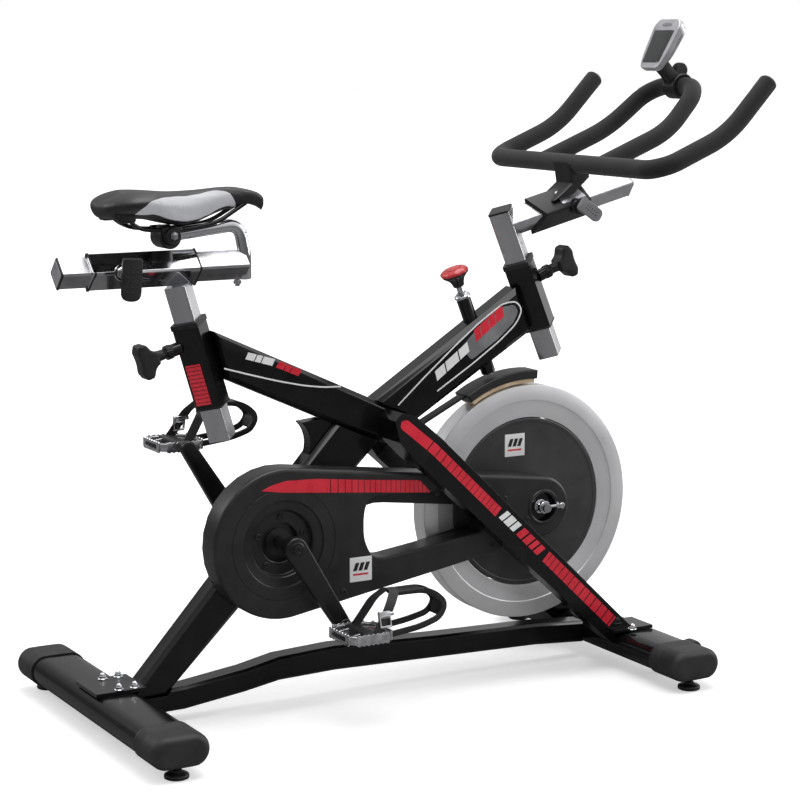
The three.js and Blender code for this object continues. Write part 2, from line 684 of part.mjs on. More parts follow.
function pedal(side) {
  const [x, z] = pedalPoint(side);
  const near = side * pedalInner;
  const far = side * (pedalInner + pedalWidth);
  const low = Math.min(near, far);
  const high = Math.max(near, far);
  const reach = pedalLength / 2;
  const frame = shapeOf([[x - reach, low + 8], [x - reach + 8, low], [x + reach - 8, low],
    [x + reach, low + 8],
    [x + reach, high - 8], [x + reach - 8, high], [x - reach + 8, high], [x - reach, high - 8]]);
  const body = extruded(frame, pedalHeight).translate(0, 0, z - pedalHeight / 2);
  const windows = [-1, 1].map((way) => box(
    [x + Math.min(way * 13, way * (reach - 9)), low + 9, z - pedalHeight],
    [x + Math.max(way * 13, way * (reach - 9)), high - 9, z + pedalHeight]));
  const bore = rod(spindleRadius + GAP, V(x, side * (pedalInner - 5), z),
    V(x, side * (pedalInner + pedalWidth - 6), z), 18);
  return cut(body, bore, ...windows);
}

// Toe clip: two side rails run forward and close round the toe, with a strap over the instep.
const clipReach = 112;
const clipRadius = 5;

function toeClip(side) {
  const [x, z] = pedalPoint(side);
  const middle = side * (pedalInner + pedalWidth / 2);
  const front = x + pedalLength / 2 + GAP;
  const floor = z + 2;
  const loop = bentTube([V(front, middle - 26, floor), V(front + 62, middle - 26, floor + 4),
    V(front + clipReach, middle - 20, floor + 34), V(front + clipReach - 34, middle - 12, floor + 62),
    V(front + 20, middle - 6, floor + 62)], 16, clipRadius, 6, 12);
  const twin = bentTube([V(front, middle + 26, floor), V(front + 62, middle + 26, floor + 4),
    V(front + clipReach, middle + 20, floor + 34), V(front + clipReach - 34, middle + 12, floor + 62),
    V(front + 20, middle + 6, floor + 62)], 16, clipRadius, 6, 12);
  const toe = rod(clipRadius, V(front + clipReach - 6, middle - 22, floor + 31),
    V(front + clipReach - 6, middle + 22, floor + 31), 8);
  const over = box([front + 10, middle - 14, floor + 57], [front + 70, middle + 14, floor + 66]);
  return join(loop, twin, toe, over);
}

for (const [name, side] of sides) {
  add(`crank_${name}`, crank(side), framePaint);
  add(`pedal_${name}`, pedal(side), silverPlastic);
  add(`toe_clip_${name}`, toeClip(side), blackPlastic);
}

// ---------------------------------------------------------------- saddle, its slider and post

const carriageSide = postSide + 2 * (SLIDE_FIT + carriageWall);
const sliderZ = onAxis(seatSleeveMid, seatTilt, seatPostUp).z + sliderRise;
const carriageRoom = bar(shapeOf(diamond(carriageSide + 2 * GAP)), V(carriageRear - 20, 0, sliderZ),
  V(carriageFront + 20, 0, sliderZ));
add('seat_post', cut(bar(shapeOf(diamond(postSide)), onAxis(seatSleeveMid, seatTilt, -seatPostDown),
  onAxis(seatSleeveMid, seatTilt, seatPostUp)), carriageRoom), satinSteel);

const carriageBlock = bar(shapeOf(diamond(carriageSide)), V(carriageRear, 0, sliderZ),
  V(carriageFront, 0, sliderZ));
const leverX = -466;
const studRadius = 5;
const seatStud = rod(studRadius, V(leverX, -(carriageSide / Math.SQRT2 - 8), sliderZ),
  V(leverX, -58, sliderZ), 16);
const seatNut = rod(9, V(leverX, -(carriageSide / Math.SQRT2 - 5), sliderZ), V(leverX, -40, sliderZ), 6);
add('seat_carriage', cut(join(carriageBlock, seatStud, seatNut),
  bar(shapeOf(diamond(postSide + 2 * SLIDE_FIT)), V(carriageRear - 5, 0, sliderZ),
    V(carriageFront + 5, 0, sliderZ))), chrome);

// A quick lever turns on its stud: a hub behind a flat handle.
function lever(x, y, z, lean, width, length, hub) {
  const handle = shapeOf([[-width / 2, -length * 0.62], [width / 2, -length * 0.62],
    [width / 2, length * 0.38],
    [-width / 2, length * 0.38]]);
  const turn = new THREE.Matrix4().makeRotationY(rad(lean));
  const plate = sidePlate(handle, -hub - 10, -hub, 2).applyMatrix4(turn);
  const boss = rod(10, V(0, -hub - 2, 0), V(0, 0, 0), 20);
  const bore = rod(studRadius + GAP, V(0, -hub, 0), V(0, 5, 0), 16);
  return cut(join(plate, boss), bore).translate(x, y, z);
}

add('seat_lever', lever(leverX, -44, sliderZ, 4, 34, 68, 20), blackPlastic);

const sliderTube = bar(shapeOf(diamond(postSide)), V(sliderRear, 0, sliderZ), V(sliderFront, 0, sliderZ));
const clampX = -377;
const clampRadius = 19;
const clampClearance = 1.2;            // carriage to saddle clamp
const clampZ = sliderZ + carriageSide / Math.SQRT2 + clampRadius + clampClearance;
const saddleTopZ = clampZ + saddleRise;
const barPoints = [V(sliderFront - 6, 0, sliderZ + 8), V(sliderFront - 8, 0, clampZ + 16),
  V(clampX - 14, 0, clampZ)];
const seatBar = bentTube(barPoints, 30, seatBarRadius, 12, 12);
add('seat_slider', sliderTube, satinSteel);
add('seat_bar', cut(seatBar, bar(shapeOf(diamond(postSide + 2 * GAP)), V(sliderRear, 0, sliderZ),
  V(sliderFront + 40, 0, sliderZ))), chrome);

// Clamp on the bar, holding two wire rails that rise to the nose and the tail.
const clampBore = seatBarRadius + 0.8;
const clampWidth = 46;
const clampBody = rod(clampRadius, V(clampX, -clampWidth / 2, clampZ), V(clampX, clampWidth / 2, clampZ), 20);
const barCourse = barPoints[1].clone().sub(barPoints[2]).normalize();
// The clamp's bore flares up and down, so that the saddle can tilt on the bar.
const clampTilt = 7;
const barPath = join(...[-clampTilt, 0, clampTilt].map((degrees) => {
  const course = barCourse.clone().applyAxisAngle(ACROSS, rad(degrees));
  const middle = V(clampX, 0, clampZ + 1.5);
  return rod(clampBore, middle.clone().addScaledVector(course, -50),
    middle.clone().addScaledVector(course, 80), 16);
}));
const railEnd = saddleTopZ - saddleThickness - 2;
const rails = [-1, 1].map((side) => tube([V(saddleRear + 40, side * 30, railEnd),
  V(-430, side * 25, clampZ + 16),
  V(-405, side * railGauge / 2, clampZ + 13), V(-345, side * railGauge / 2, clampZ + 13),
    V(-290, side * 16, clampZ + 21),
  V(-245, side * 14, railEnd)], 3.5, 6, 12));
const ears = [-1, 1].map((side) => rod(13, V(clampX, side * (clampWidth / 2 - 1), clampZ + 4),
  V(clampX, side * (clampWidth / 2 + 8), clampZ + 4), 16));
const bridge = box([clampX - 17, -clampWidth / 2 - 6, clampZ + 8],
  [clampX + 17, clampWidth / 2 + 6, clampZ + 20]);
add('saddle_clamp', cut(join(clampBody, bridge, ...ears, ...rails), barPath), blackPlastic);

const saddleHalf = saddleWidth / 2;
const nose = saddleNoseWidth / 2;
const saddlePlan = new THREE.Shape();
saddlePlan.moveTo(saddleRear, 0);
saddlePlan.bezierCurveTo(saddleRear, 40, saddleRear + 4, saddleHalf, saddleRear + 52, saddleHalf);
saddlePlan.bezierCurveTo(saddleRear + 110, saddleHalf, saddleRear + 120, nose + 6, saddleRear + 196, nose);
saddlePlan.bezierCurveTo(saddleRear + 250, nose, saddleRear + saddleLength, nose - 2,
  saddleRear + saddleLength, 0);
saddlePlan.bezierCurveTo(saddleRear + saddleLength, -nose + 2, saddleRear + 250, -nose, saddleRear + 196,
  -nose);
saddlePlan.bezierCurveTo(saddleRear + 120, -nose - 6, saddleRear + 110, -saddleHalf, saddleRear + 52,
  -saddleHalf);
saddlePlan.bezierCurveTo(saddleRear + 4, -saddleHalf, saddleRear, -40, saddleRear, 0);
const saddleBlock = new THREE.ExtrudeGeometry(saddlePlan, { depth: saddleThickness - 22, curveSegments: 6,
  bevelEnabled: true, bevelThickness: 11, bevelSize: 11, bevelOffset: -11, bevelSegments: 3 });
const saddleFloor = saddleTopZ - saddleThickness;
add('saddle', saddleBlock.translate(0, 0, saddleFloor + 14), vinyl);

// ---------------------------------------------------------------- handlebar post, arm and bars

const armMiddle = onAxis(headSleeveMid, headTilt, headPostUp - armDrop);
const armEnd = V(armMiddle.x + armReach * Math.cos(rad(armTilt)), 0,
  armMiddle.z + armReach * Math.sin(rad(armTilt)));
const headPost = bar(shapeOf(diamond(postSide)), onAxis(headSleeveMid, headTilt, -headPostDown),
  onAxis(headSleeveMid, headTilt, headPostUp));
add('handlebar_post', join(headPost, bar(shapeOf(diamond(postSide)), armMiddle, armEnd)), satinSteel);

const armPoint = (along, up = 0, y = 0) => V(
  armMiddle.x + along * Math.cos(rad(armTilt)) - up * Math.sin(rad(armTilt)), y,
  armMiddle.z + along * Math.sin(rad(armTilt)) + up * Math.cos(rad(armTilt)));
const clampStart = 58;
const clampEnd = 168;
const barClampWall = 5;
const barClampSide = postSide + 2 * (SLIDE_FIT + barClampWall);
const clampTube = bar(shapeOf(diamond(barClampSide), diamond(postSide + 2 * SLIDE_FIT).reverse()),
  armPoint(clampStart), armPoint(clampEnd));
const armLever = armPoint(136, -4);
const armStud = rod(studRadius, V(armLever.x, -26, armLever.z), V(armLever.x, -56, armLever.z), 16);
const armBoss = rod(14, V(armLever.x, -25, armLever.z), V(armLever.x, -40, armLever.z), 20);
const armClear = bar(shapeOf(diamond(postSide + 2 * SLIDE_FIT)), armPoint(clampStart - 5),
  armPoint(clampEnd + 5));
add('handlebar_clamp', cut(join(clampTube, armStud, armBoss), armClear), blackPlastic);
add('handlebar_lever', lever(armLever.x, -44, armLever.z, -55, 24, 50, 16), silverPlastic);

const barX = armMiddle.x + barAhead;
const barZ = armMiddle.z + barAbove;
const barPoint = (along, y, up) => V(barX + along, y, barZ + up);
const crossX = -6;
const outerBar = bentTube([
  barPoint(233, -barHalfWidth, 153), barPoint(142, -barHalfWidth, 58),
  barPoint(crossX, 14 - barHalfWidth, 0), barPoint(crossX, barHalfWidth - 14, 0),
  barPoint(142, barHalfWidth, 58), barPoint(233, barHalfWidth, 153),
], 34, barRadius, 8, 38);
add('handlebar_outer', outerBar, foam);
const innerPath = [
  barPoint(-4, -loopHalfWidth, 0), barPoint(141, -loopHalfWidth, 58), barPoint(208, 18 - loopHalfWidth, 119),
  barPoint(231, -46, 136), barPoint(231, 46, 136),
  barPoint(208, loopHalfWidth - 18, 119), barPoint(141, loopHalfWidth, 58), barPoint(-4, loopHalfWidth, 0),
];
const crossTube = rod(barRadius + 1.2, barPoint(crossX, 40 - barHalfWidth, 0),
  barPoint(crossX, barHalfWidth - 40, 0), 12);
add('handlebar_inner', cut(bentTube(innerPath, 22, barRadius, 8, 38), crossTube), foam);

const stemTop = barPoint(crossX, 0, 0);
const stemOutline = shapeOf([[stemTop.x - 20, stemTop.z + 2], [stemTop.x - 14, stemTop.z - 34],
  [armPoint(96, 26).x, armPoint(96, 26).z - 8], [armPoint(142, 26).x, armPoint(142, 26).z - 8],
  [stemTop.x + 26, stemTop.z - 24], [stemTop.x + 20, stemTop.z + 2]]);
const stemClear = bar(shapeOf(diamond(barClampSide + 2 * GAP)), armPoint(clampStart - 20),
  armPoint(clampEnd + 20));
add('handlebar_stem', cut(sidePlate(stemOutline, -27, 27, 3), crossTube, stemClear), blackPlastic);

// ---------------------------------------------------------------- console

const apex = barPoint(231, 0, 136);
const consoleTilt = 28;
const consoleWidth = 80;
const consoleHeight = 102;
const consoleDrop = 10;                // lower edge, below the neck's top
const consoleDepth = 24;
const clampHalf = 19;
const ringOuter = barRadius + 7;
const apexAxis = (radius, low, high, count = 24) =>
  rod(radius, V(apex.x, low, apex.z), V(apex.x, high, apex.z), count);
const consoleRing = cut(apexAxis(ringOuter, -clampHalf, clampHalf), apexAxis(barRadius + 1, -40, 40));
const consoleFoot = V(apex.x - 49, 0, apex.z + 49);
const neck = box([-12, -14, 0], [12, 14, consoleFoot.distanceTo(apex)]);
const neckPlaced = place(neck, apex, consoleFoot.clone().sub(apex));
add('console_clamp', cut(join(consoleRing, neckPlaced), apexAxis(barRadius + 1, -40, 40)), blackPlastic);

const consoleOutline = shapeOf([[-consoleWidth / 2 + 8, 0], [consoleWidth / 2 - 8, 0],
  [consoleWidth / 2, consoleHeight - 14],
  [consoleWidth / 2 - 12, consoleHeight], [-consoleWidth / 2 + 12, consoleHeight],
  [-consoleWidth / 2, consoleHeight - 14]]);
const consoleBlock = extruded(consoleOutline, consoleDepth, 4);
const consoleFace = V(-Math.cos(rad(consoleTilt)), 0, Math.sin(rad(consoleTilt)));
const consoleUp = V(Math.sin(rad(consoleTilt)), 0, Math.cos(rad(consoleTilt)));
const consoleBase = V(apex.x - 59, 0, apex.z + 39).addScaledVector(consoleFace, -consoleDepth + 6)
  .addScaledVector(consoleUp, -consoleDrop);
consoleBlock.applyMatrix4(new THREE.Matrix4().makeBasis(ACROSS.clone().negate(), consoleUp,
  consoleFace.clone())
  .setPosition(consoleBase));
const neckRoom = place(box([-12 - GAP, -14 - GAP, 0],
  [12 + GAP, 14 + GAP, consoleFoot.distanceTo(apex) + GAP]), apex,
  consoleFoot.clone().sub(apex));
add('console_housing', cut(consoleBlock, neckRoom), silverPlastic);

// ---------------------------------------------------------------- locking pins and knobs

function lockingPin(middle, tilt, up, facing) {
  const start = postSide / Math.SQRT2 + 1.5;
  const end = sleeveReach - 3 + bossLength + 22;
  return rod(pinRadius, onAxis(middle, tilt, up, facing * start), onAxis(middle, tilt, up, facing * end), 16);
}

function wingKnob(middle, tilt, up, facing) {
  const from = onAxis(middle, tilt, up, facing * (sleeveReach - 3 + bossLength + 3));
  const to = onAxis(middle, tilt, up, facing * (sleeveReach - 3 + bossLength + 60));
  const axis = to.clone().sub(from).normalize();
  const hub = turned([[0, 0], [8, 0], [9, 10], [12, 30], [12, 42], [0, 42]], from, axis, 20);
  const wing = place(box([-17, -30, 28], [17, 30, 48]), from, axis);
  const bore = rod(pinRadius + GAP, from.clone().addScaledVector(axis, -4),
    from.clone().addScaledVector(axis, 20), 16);
  return cut(join(hub, wing), bore);
}

for (const [name, middle, tilt, up, facing] of [['seat', seatSleeveMid, seatTilt, seatPinUp, -1],
  ['head', headSleeveMid, headTilt, headPinUp, 1]]) {
  add(`${name}_pin`, lockingPin(middle, tilt, up, facing), chrome);
  add(`${name}_knob`, wingKnob(middle, tilt, up, facing), blackPlastic);
}

// ---------------------------------------------------------------- brake

const screwRadius = 6;
const knobRise = 44;
const brakeDown = brakeAxis(1).sub(brakeAxis(0));
const padInner = flywheelRadius + padGap;
const padOuter = padInner + padThickness;
const padFrom = 86;                    // degrees from +X round the flywheel
const padTo = 121;
const shoeY = 24;

function arcPlate(inner, outer, start, end, steps = 12) {
  const points = [];
  for (let i = 0; i <= steps; i += 1) {
    const a = rad(start + (end - start) * i / steps);
    points.push([flywheelCentre[0] + outer * Math.cos(a), flywheelCentre[1] + outer * Math.sin(a)]);
  }
  for (let i = steps; i >= 0; i -= 1) {
    const a = rad(start + (end - start) * i / steps);
    points.push([flywheelCentre[0] + inner * Math.cos(a), flywheelCentre[1] + inner * Math.sin(a)]);
  }
  return shapeOf(points);
}

add('brake_pad', sidePlate(arcPlate(padInner, padOuter, padFrom, padTo), -shoeY + 4, shoeY - 4), felt);
const shoeInner = padOuter + GAP;
const shoeOuter = shoeInner + shoeHeight;
const shoe = sidePlate(arcPlate(shoeInner, shoeOuter, padFrom - 1, padTo + 1), -shoeY, shoeY, 2);
const leafRoot = V(104, 0, 470);
const leafTip = V(flywheelCentre[0] + (shoeOuter - 5) * Math.cos(rad(padTo - 4)), 0,
  flywheelCentre[1] + (shoeOuter - 5) * Math.sin(rad(padTo - 4)));
const leaf = bar(shapeOf([[-12, -2], [12, -2], [12, 2], [-12, 2]]), leafRoot, leafTip);
add('brake_shoe', join(shoe, leaf), blackPlastic);

// The screw stops where its axis meets a circle its own radius outside the shoe.
const screwStart = brakeAxis(0).sub(V(flywheelCentre[0], 0, flywheelCentre[1]));
const towardsHub = screwStart.dot(brakeDown);
const screwStop = shoeOuter + screwRadius;
const screwEnd = -towardsHub - Math.sqrt(towardsHub ** 2 - screwStart.lengthSq() + screwStop ** 2);
add('brake_screw', rod(screwRadius, brakeAxis(-knobRise), brakeAxis(screwEnd), 20), satinSteel);
add('brake_knob', cut(turned([[0, 0], [9, 0], [15, 5], [24, 18], [26, 24], [25, 29], [20, 32], [0, 34]],
  brakeAxis(-22), brakeDown.clone().negate(), 24),
    rod(screwRadius + GAP, brakeAxis(0), brakeAxis(-knobRise - GAP), 20)),
redPlastic);

// ---------------------------------------------------------------- origin under the middle of the cycle

const extent = new THREE.Box3().setFromObject(bike);
bike.position.set(-(extent.min.x + extent.max.x) / 2, -(extent.min.y + extent.max.y) / 2, -extent.min.z);

export default bike;
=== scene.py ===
import json
import math

import bmesh
import bpy
import numpy as np
from mathutils import Euler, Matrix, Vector

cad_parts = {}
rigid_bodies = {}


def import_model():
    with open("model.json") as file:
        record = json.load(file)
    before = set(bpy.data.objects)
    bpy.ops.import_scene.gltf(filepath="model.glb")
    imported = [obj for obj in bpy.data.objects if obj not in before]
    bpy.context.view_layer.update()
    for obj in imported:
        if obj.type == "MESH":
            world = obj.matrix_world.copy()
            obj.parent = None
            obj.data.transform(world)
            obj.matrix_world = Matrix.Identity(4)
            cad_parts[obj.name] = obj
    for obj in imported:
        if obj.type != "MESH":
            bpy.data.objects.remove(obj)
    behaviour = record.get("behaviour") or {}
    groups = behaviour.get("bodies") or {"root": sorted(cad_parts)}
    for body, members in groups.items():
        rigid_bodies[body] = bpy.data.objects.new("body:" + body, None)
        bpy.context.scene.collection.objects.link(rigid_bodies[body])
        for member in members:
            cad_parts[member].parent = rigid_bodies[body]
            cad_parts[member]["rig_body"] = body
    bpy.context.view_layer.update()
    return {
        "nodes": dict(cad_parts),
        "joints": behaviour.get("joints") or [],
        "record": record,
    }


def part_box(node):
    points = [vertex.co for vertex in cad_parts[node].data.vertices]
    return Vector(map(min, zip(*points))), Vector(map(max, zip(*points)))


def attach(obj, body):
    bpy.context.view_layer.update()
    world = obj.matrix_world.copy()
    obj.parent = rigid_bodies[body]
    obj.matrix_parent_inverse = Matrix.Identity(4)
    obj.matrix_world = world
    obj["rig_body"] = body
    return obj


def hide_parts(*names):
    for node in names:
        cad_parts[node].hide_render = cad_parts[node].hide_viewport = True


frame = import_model()
nodes = frame["nodes"]
joints = {joint["name"]: joint for joint in frame["joints"]}
print("frame loaded:", len(nodes), "nodes")

# places that the pieces share, read from the frame's joints and boxes

across = np.array([0.0, 1.0, 0.0])
forward = np.array([1.0, 0.0, 0.0])
upward = np.array([0.0, 0.0, 1.0])
sides = {"right": -1, "left": 1}


def unit(vector):
    return np.asarray(vector, float) / np.linalg.norm(vector)


def spot(joint):
    return np.array(joints[joint]["pos_m"], float)


def axisOf(joint):
    return unit(joints[joint]["axis"])


def corners(node):
    low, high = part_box(node)
    return np.array(low), np.array(high)


crankAt = spot("crank_spin")
wheelAt = spot("flywheel_spin")
pedalAt = {side: spot("pedal_%s_spin" % side) for side in sides}
seatUp = axisOf("seat_post_height")
headUp = axisOf("handlebar_height")
armAlong = axisOf("handlebar_fore_aft")
armUp = np.cross(armAlong, across)
brakeDown = axisOf("brake_push")
knobReach = 0.060                      # locking knob to the post's axis
seatForward = -axisOf("seat_pin_pull")
headForward = axisOf("head_pin_pull")
seatMiddle = spot("seat_knob_turn") + knobReach * seatForward - 0.040 * seatUp
headMiddle = spot("head_knob_turn") - knobReach * headForward - 0.022 * headUp
armMiddle = spot("handlebar_lever_turn") * [1, 0, 1] - 0.136 * armAlong + 0.004 * armUp
brakeTop = spot("brake_knob_turn") + 0.022 * brakeDown
sliderZ = spot("seat_lever_turn")[2]
beamFace = 0.025                       # half the width of the main beams
guardFace = abs(corners("guard_cover")[0][1])


# finishes: every one is procedural, on Object coordinates

def startFinish(name, look):
    material = bpy.data.materials.new(name)
    material.use_nodes = True
    tree = material.node_tree
    shader = tree.nodes["Principled BSDF"]
    shader.inputs["Metallic"].default_value = look.get("metal", 0.0)
    shader.inputs["Specular IOR Level"].default_value = look.get("specular", 0.5)
    shader.inputs["Coat Weight"].default_value = look.get("coat", 0.0)
    shader.inputs["Coat Roughness"].default_value = look.get("coatRoughness", 0.06)
    shader.inputs["Sheen Weight"].default_value = look.get("sheen", 0.0)
    place = tree.nodes.new("ShaderNodeTexCoord")
    mapping = tree.nodes.new("ShaderNodeMapping")
    mapping.inputs["Scale"].default_value = look.get("stretch", (1, 1, 1))
    mapping.inputs["Rotation"].default_value = look.get("turn", (0, 0, 0))
    tree.links.new(place.outputs["Object"], mapping.inputs["Vector"])
    return material, tree, shader, place, mapping


def noise(tree, vector, scale, detail=4.0):
    texture = tree.nodes.new("ShaderNodeTexNoise")
    texture.inputs["Scale"].default_value = scale
    texture.inputs["Detail"].default_value = detail
    tree.links.new(vector, texture.inputs["Vector"])
    return texture.outputs["Fac"]


def ramp(tree, value, stops, smooth=True):
    node = tree.nodes.new("ShaderNodeValToRGB")
    node.color_ramp.interpolation = "LINEAR" if smooth else "CONSTANT"
    while len(node.color_ramp.elements) < len(stops):
        node.color_ramp.elements.new(0.5)
    for element, (position, colour) in zip(node.color_ramp.elements, stops):
        element.position = position
        element.color = (*colour, 1)
    tree.links.new(value, node.inputs["Fac"])
    return node.outputs["Color"]


def maths(tree, operation, first, second=0.0, third=0.0):
    node = tree.nodes.new("ShaderNodeMath")
    node.operation = operation
    for socket, value in zip(node.inputs, (first, second, third)):
        if isinstance(value, (int, float)):
            socket.default_value = value
        else:
            tree.links.new(value, socket)
    return node.outputs["Value"]


def mixed(tree, factor, first, second):
    node = tree.nodes.new("ShaderNodeMix")
    node.data_type = "RGBA"
    tree.links.new(factor, node.inputs["Factor"])
    for socket, value in (("A", first), ("B", second)):
        target = [s for s in node.inputs if s.name == socket and s.type == "RGBA"][0]
        if isinstance(value, tuple):
            target.default_value = (*value, 1)
        else:
            tree.links.new(value, target)
    return [s for s in node.outputs if s.type == "RGBA"][0]


def surface(tree, shader, vector, look):
    # roughness drifts with a broad noise, and a fine one lifts the surface
    drift = noise(tree, vector, look.get("patch", 30))
    rough, spread = look["rough"], look.get("spread", 0.04)
    level = maths(tree, "MULTIPLY_ADD", drift, 2 * spread, rough - spread)
    tree.links.new(level, shader.inputs["Roughness"])
    bump = tree.nodes.new("ShaderNodeBump")
    bump.inputs["Strength"].default_value = look.get("bump", 0.05)
    bump.inputs["Distance"].default_value = look.get("depth", 0.0003)
    tree.links.new(noise(tree, vector, look.get("grain", 900), 2), bump.inputs["Height"])
    tree.links.new(bump.outputs["Normal"], shader.inputs["Normal"])
    return drift, bump


def plainFinish(name, look):
    material, tree, shader, place, mapping = startFinish(name, look)
    drift, bump = surface(tree, shader, mapping.outputs["Vector"], look)
    colour = ramp(tree, drift, [(0.3, look["dark"]), (0.7, look["light"])])
    tree.links.new(colour, shader.inputs["Base Color"])
    return material


looks = {
    "paint": dict(dark=(0.003, 0.003, 0.0035), light=(0.007, 0.007, 0.008), rough=0.16, spread=0.05,
                  specular=0.42, grain=420, bump=0.035),
    "crankPaint": dict(dark=(0.006, 0.006, 0.006), light=(0.014, 0.013, 0.013), rough=0.3, spread=0.07,
                       grain=700, bump=0.07),
    "chrome": dict(dark=(0.74, 0.75, 0.77), light=(0.86, 0.87, 0.88), rough=0.07, spread=0.03, metal=1.0,
                   grain=60, bump=0.012),
    "postSteel": dict(dark=(0.62, 0.62, 0.64), light=(0.74, 0.74, 0.76), rough=0.24, spread=0.06, metal=1.0,
                      stretch=(1, 1, 0.06), grain=1400, bump=0.04, patch=60),
    "screwSteel": dict(dark=(0.45, 0.45, 0.46), light=(0.75, 0.75, 0.77), rough=0.24, spread=0.1, metal=1.0,
                       grain=1500, bump=0.08),
    "darkSteel": dict(dark=(0.030, 0.030, 0.031), light=(0.075, 0.075, 0.077), rough=0.34, spread=0.08, metal=0.7,
                      grain=1500, bump=0.08),
    "disc": dict(dark=(0.028, 0.027, 0.028), light=(0.042, 0.041, 0.042), rough=0.42, spread=0.06,
                 grain=1600, bump=0.08),
    "guard": dict(dark=(0.016, 0.0145, 0.0145), light=(0.024, 0.022, 0.022), rough=0.34, spread=0.06,
                  specular=0.5, grain=1300, bump=0.05),
    "plastic": dict(dark=(0.008, 0.008, 0.0085), light=(0.017, 0.017, 0.018), rough=0.42, spread=0.08,
                    grain=1900, bump=0.12),
    "rubber": dict(dark=(0.014, 0.014, 0.0145), light=(0.026, 0.026, 0.027), rough=0.55, spread=0.08,
                   grain=2300, bump=0.2),
    "foam": dict(dark=(0.0075, 0.0070, 0.0068), light=(0.0135, 0.0128, 0.0125), rough=0.86, spread=0.08, sheen=0.12,
                 grain=1500, bump=0.42, depth=0.0006),
    "belt": dict(dark=(0.010, 0.010, 0.010), light=(0.020, 0.020, 0.020), rough=0.7, spread=0.1, grain=1200,
                 bump=0.2),
    "felt": dict(dark=(0.52, 0.37, 0.22), light=(0.74, 0.58, 0.39), rough=0.95, spread=0.04, sheen=0.3,
                 grain=1100, bump=0.8, depth=0.0008),
    "redKnob": dict(dark=(0.42, 0.012, 0.018), light=(0.60, 0.03, 0.035), rough=0.3, spread=0.08, grain=900,
                    bump=0.08, coat=0.4),
    "silverPlastic": dict(dark=(0.42, 0.42, 0.44), light=(0.56, 0.56, 0.58), rough=0.3, spread=0.08, metal=0.55,
                          grain=1700, bump=0.06),
    "leverGrey": dict(dark=(0.15, 0.15, 0.16), light=(0.22, 0.22, 0.23), rough=0.45, spread=0.06, grain=1700,
                      bump=0.1),
    "pedalSilver": dict(dark=(0.48, 0.48, 0.50), light=(0.82, 0.82, 0.84), rough=0.22, spread=0.1, metal=0.9,
                        grain=500, bump=0.1, patch=80),
    "strap": dict(dark=(0.007, 0.007, 0.007), light=(0.014, 0.014, 0.014), rough=0.6, spread=0.1, sheen=0.2,
                  stretch=(1, 0.25, 1), grain=1900, bump=0.4),
    "screen": dict(dark=(0.010, 0.012, 0.012), light=(0.020, 0.022, 0.021), rough=0.09, spread=0.03, coat=1.0,
                   grain=300, bump=0.01),
    "whiteMark": dict(dark=(0.76, 0.76, 0.76), light=(0.88, 0.88, 0.88), rough=0.3, spread=0.05, grain=900,
                      bump=0.03),
    "greyMark": dict(dark=(0.10, 0.10, 0.105), light=(0.24, 0.24, 0.25), rough=0.3, spread=0.05, grain=900,
                     patch=14, bump=0.03),
    "redMark": dict(dark=(0.60, 0.012, 0.030), light=(0.74, 0.022, 0.045), rough=0.28, spread=0.05, grain=900,
                    bump=0.03),
    "tensionRed": dict(dark=(0.30, 0.01, 0.01), light=(0.5, 0.02, 0.02), rough=0.3, grain=700),
}
finishes = {name: plainFinish(name, look) for name, look in looks.items()}


def wheelFinish():
    # turned metal: fine rings about the axle, in the roughness and the surface
    look = dict(metal=0.72)
    material, tree, shader, place, mapping = startFinish("wheelSteel", look)
    mapping.inputs["Location"].default_value = (-wheelAt[0], 0, -wheelAt[2])
    flat = tree.nodes.new("ShaderNodeVectorMath")
    flat.operation = "MULTIPLY"
    flat.inputs[1].default_value = (1, 0, 1)
    tree.links.new(mapping.outputs["Vector"], flat.inputs[0])
    reach = tree.nodes.new("ShaderNodeVectorMath")
    reach.operation = "LENGTH"
    tree.links.new(flat.outputs["Vector"], reach.inputs[0])
    turns = maths(tree, "MULTIPLY", reach.outputs["Value"], 5200)
    rings = maths(tree, "SINE", turns)
    drift = noise(tree, mapping.outputs["Vector"], 14)
    level = maths(tree, "MULTIPLY_ADD", rings, 0.05, 0.30)
    tree.links.new(maths(tree, "MULTIPLY_ADD", drift, 0.08, level), shader.inputs["Roughness"])
    tree.links.new(ramp(tree, drift, [(0.3, (0.84, 0.84, 0.85)), (0.7, (0.93, 0.93, 0.94))]),
                   shader.inputs["Base Color"])
    bump = tree.nodes.new("ShaderNodeBump")
    bump.inputs["Strength"].default_value = 0.05
    bump.inputs["Distance"].default_value = 0.0002
    tree.links.new(rings, bump.inputs["Height"])
    tree.links.new(bump.outputs["Normal"], shader.inputs["Normal"])
    return material


finishes["wheelSteel"] = wheelFinish()


def tickedFinish(name, start, direction, reach, count, growth, line=0.12, flat=0.0):
    # red film with thin dark lines across it, which stand closer together along its run
    look = looks["redMark"]
    material, tree, shader, place, mapping = startFinish(name, look)
    drift, bump = surface(tree, shader, mapping.outputs["Vector"], look)
    red = ramp(tree, drift, [(0.3, look["dark"]), (0.7, look["light"])])
    dot = tree.nodes.new("ShaderNodeVectorMath")
    dot.operation = "DOT_PRODUCT"
    dot.inputs[1].default_value = tuple(unit(direction))
    tree.links.new(place.outputs["Object"], dot.inputs[0])
    begin = float(np.dot(start, unit(direction)))
    share = maths(tree, "MULTIPLY_ADD", dot.outputs["Value"], 1 / reach, -begin / reach)
    grown = maths(tree, "POWER", maths(tree, "MAXIMUM", share, 0.0), growth)
    phase = maths(tree, "FRACT", maths(tree, "MULTIPLY", grown, count))
    inLine = maths(tree, "LESS_THAN", phase, line)
    beyond = maths(tree, "GREATER_THAN", share, flat)
    tick = maths(tree, "MULTIPLY", inLine, beyond)
    tree.links.new(mixed(tree, tick, red, (0.03, 0.004, 0.006)), shader.inputs["Base Color"])
    return material


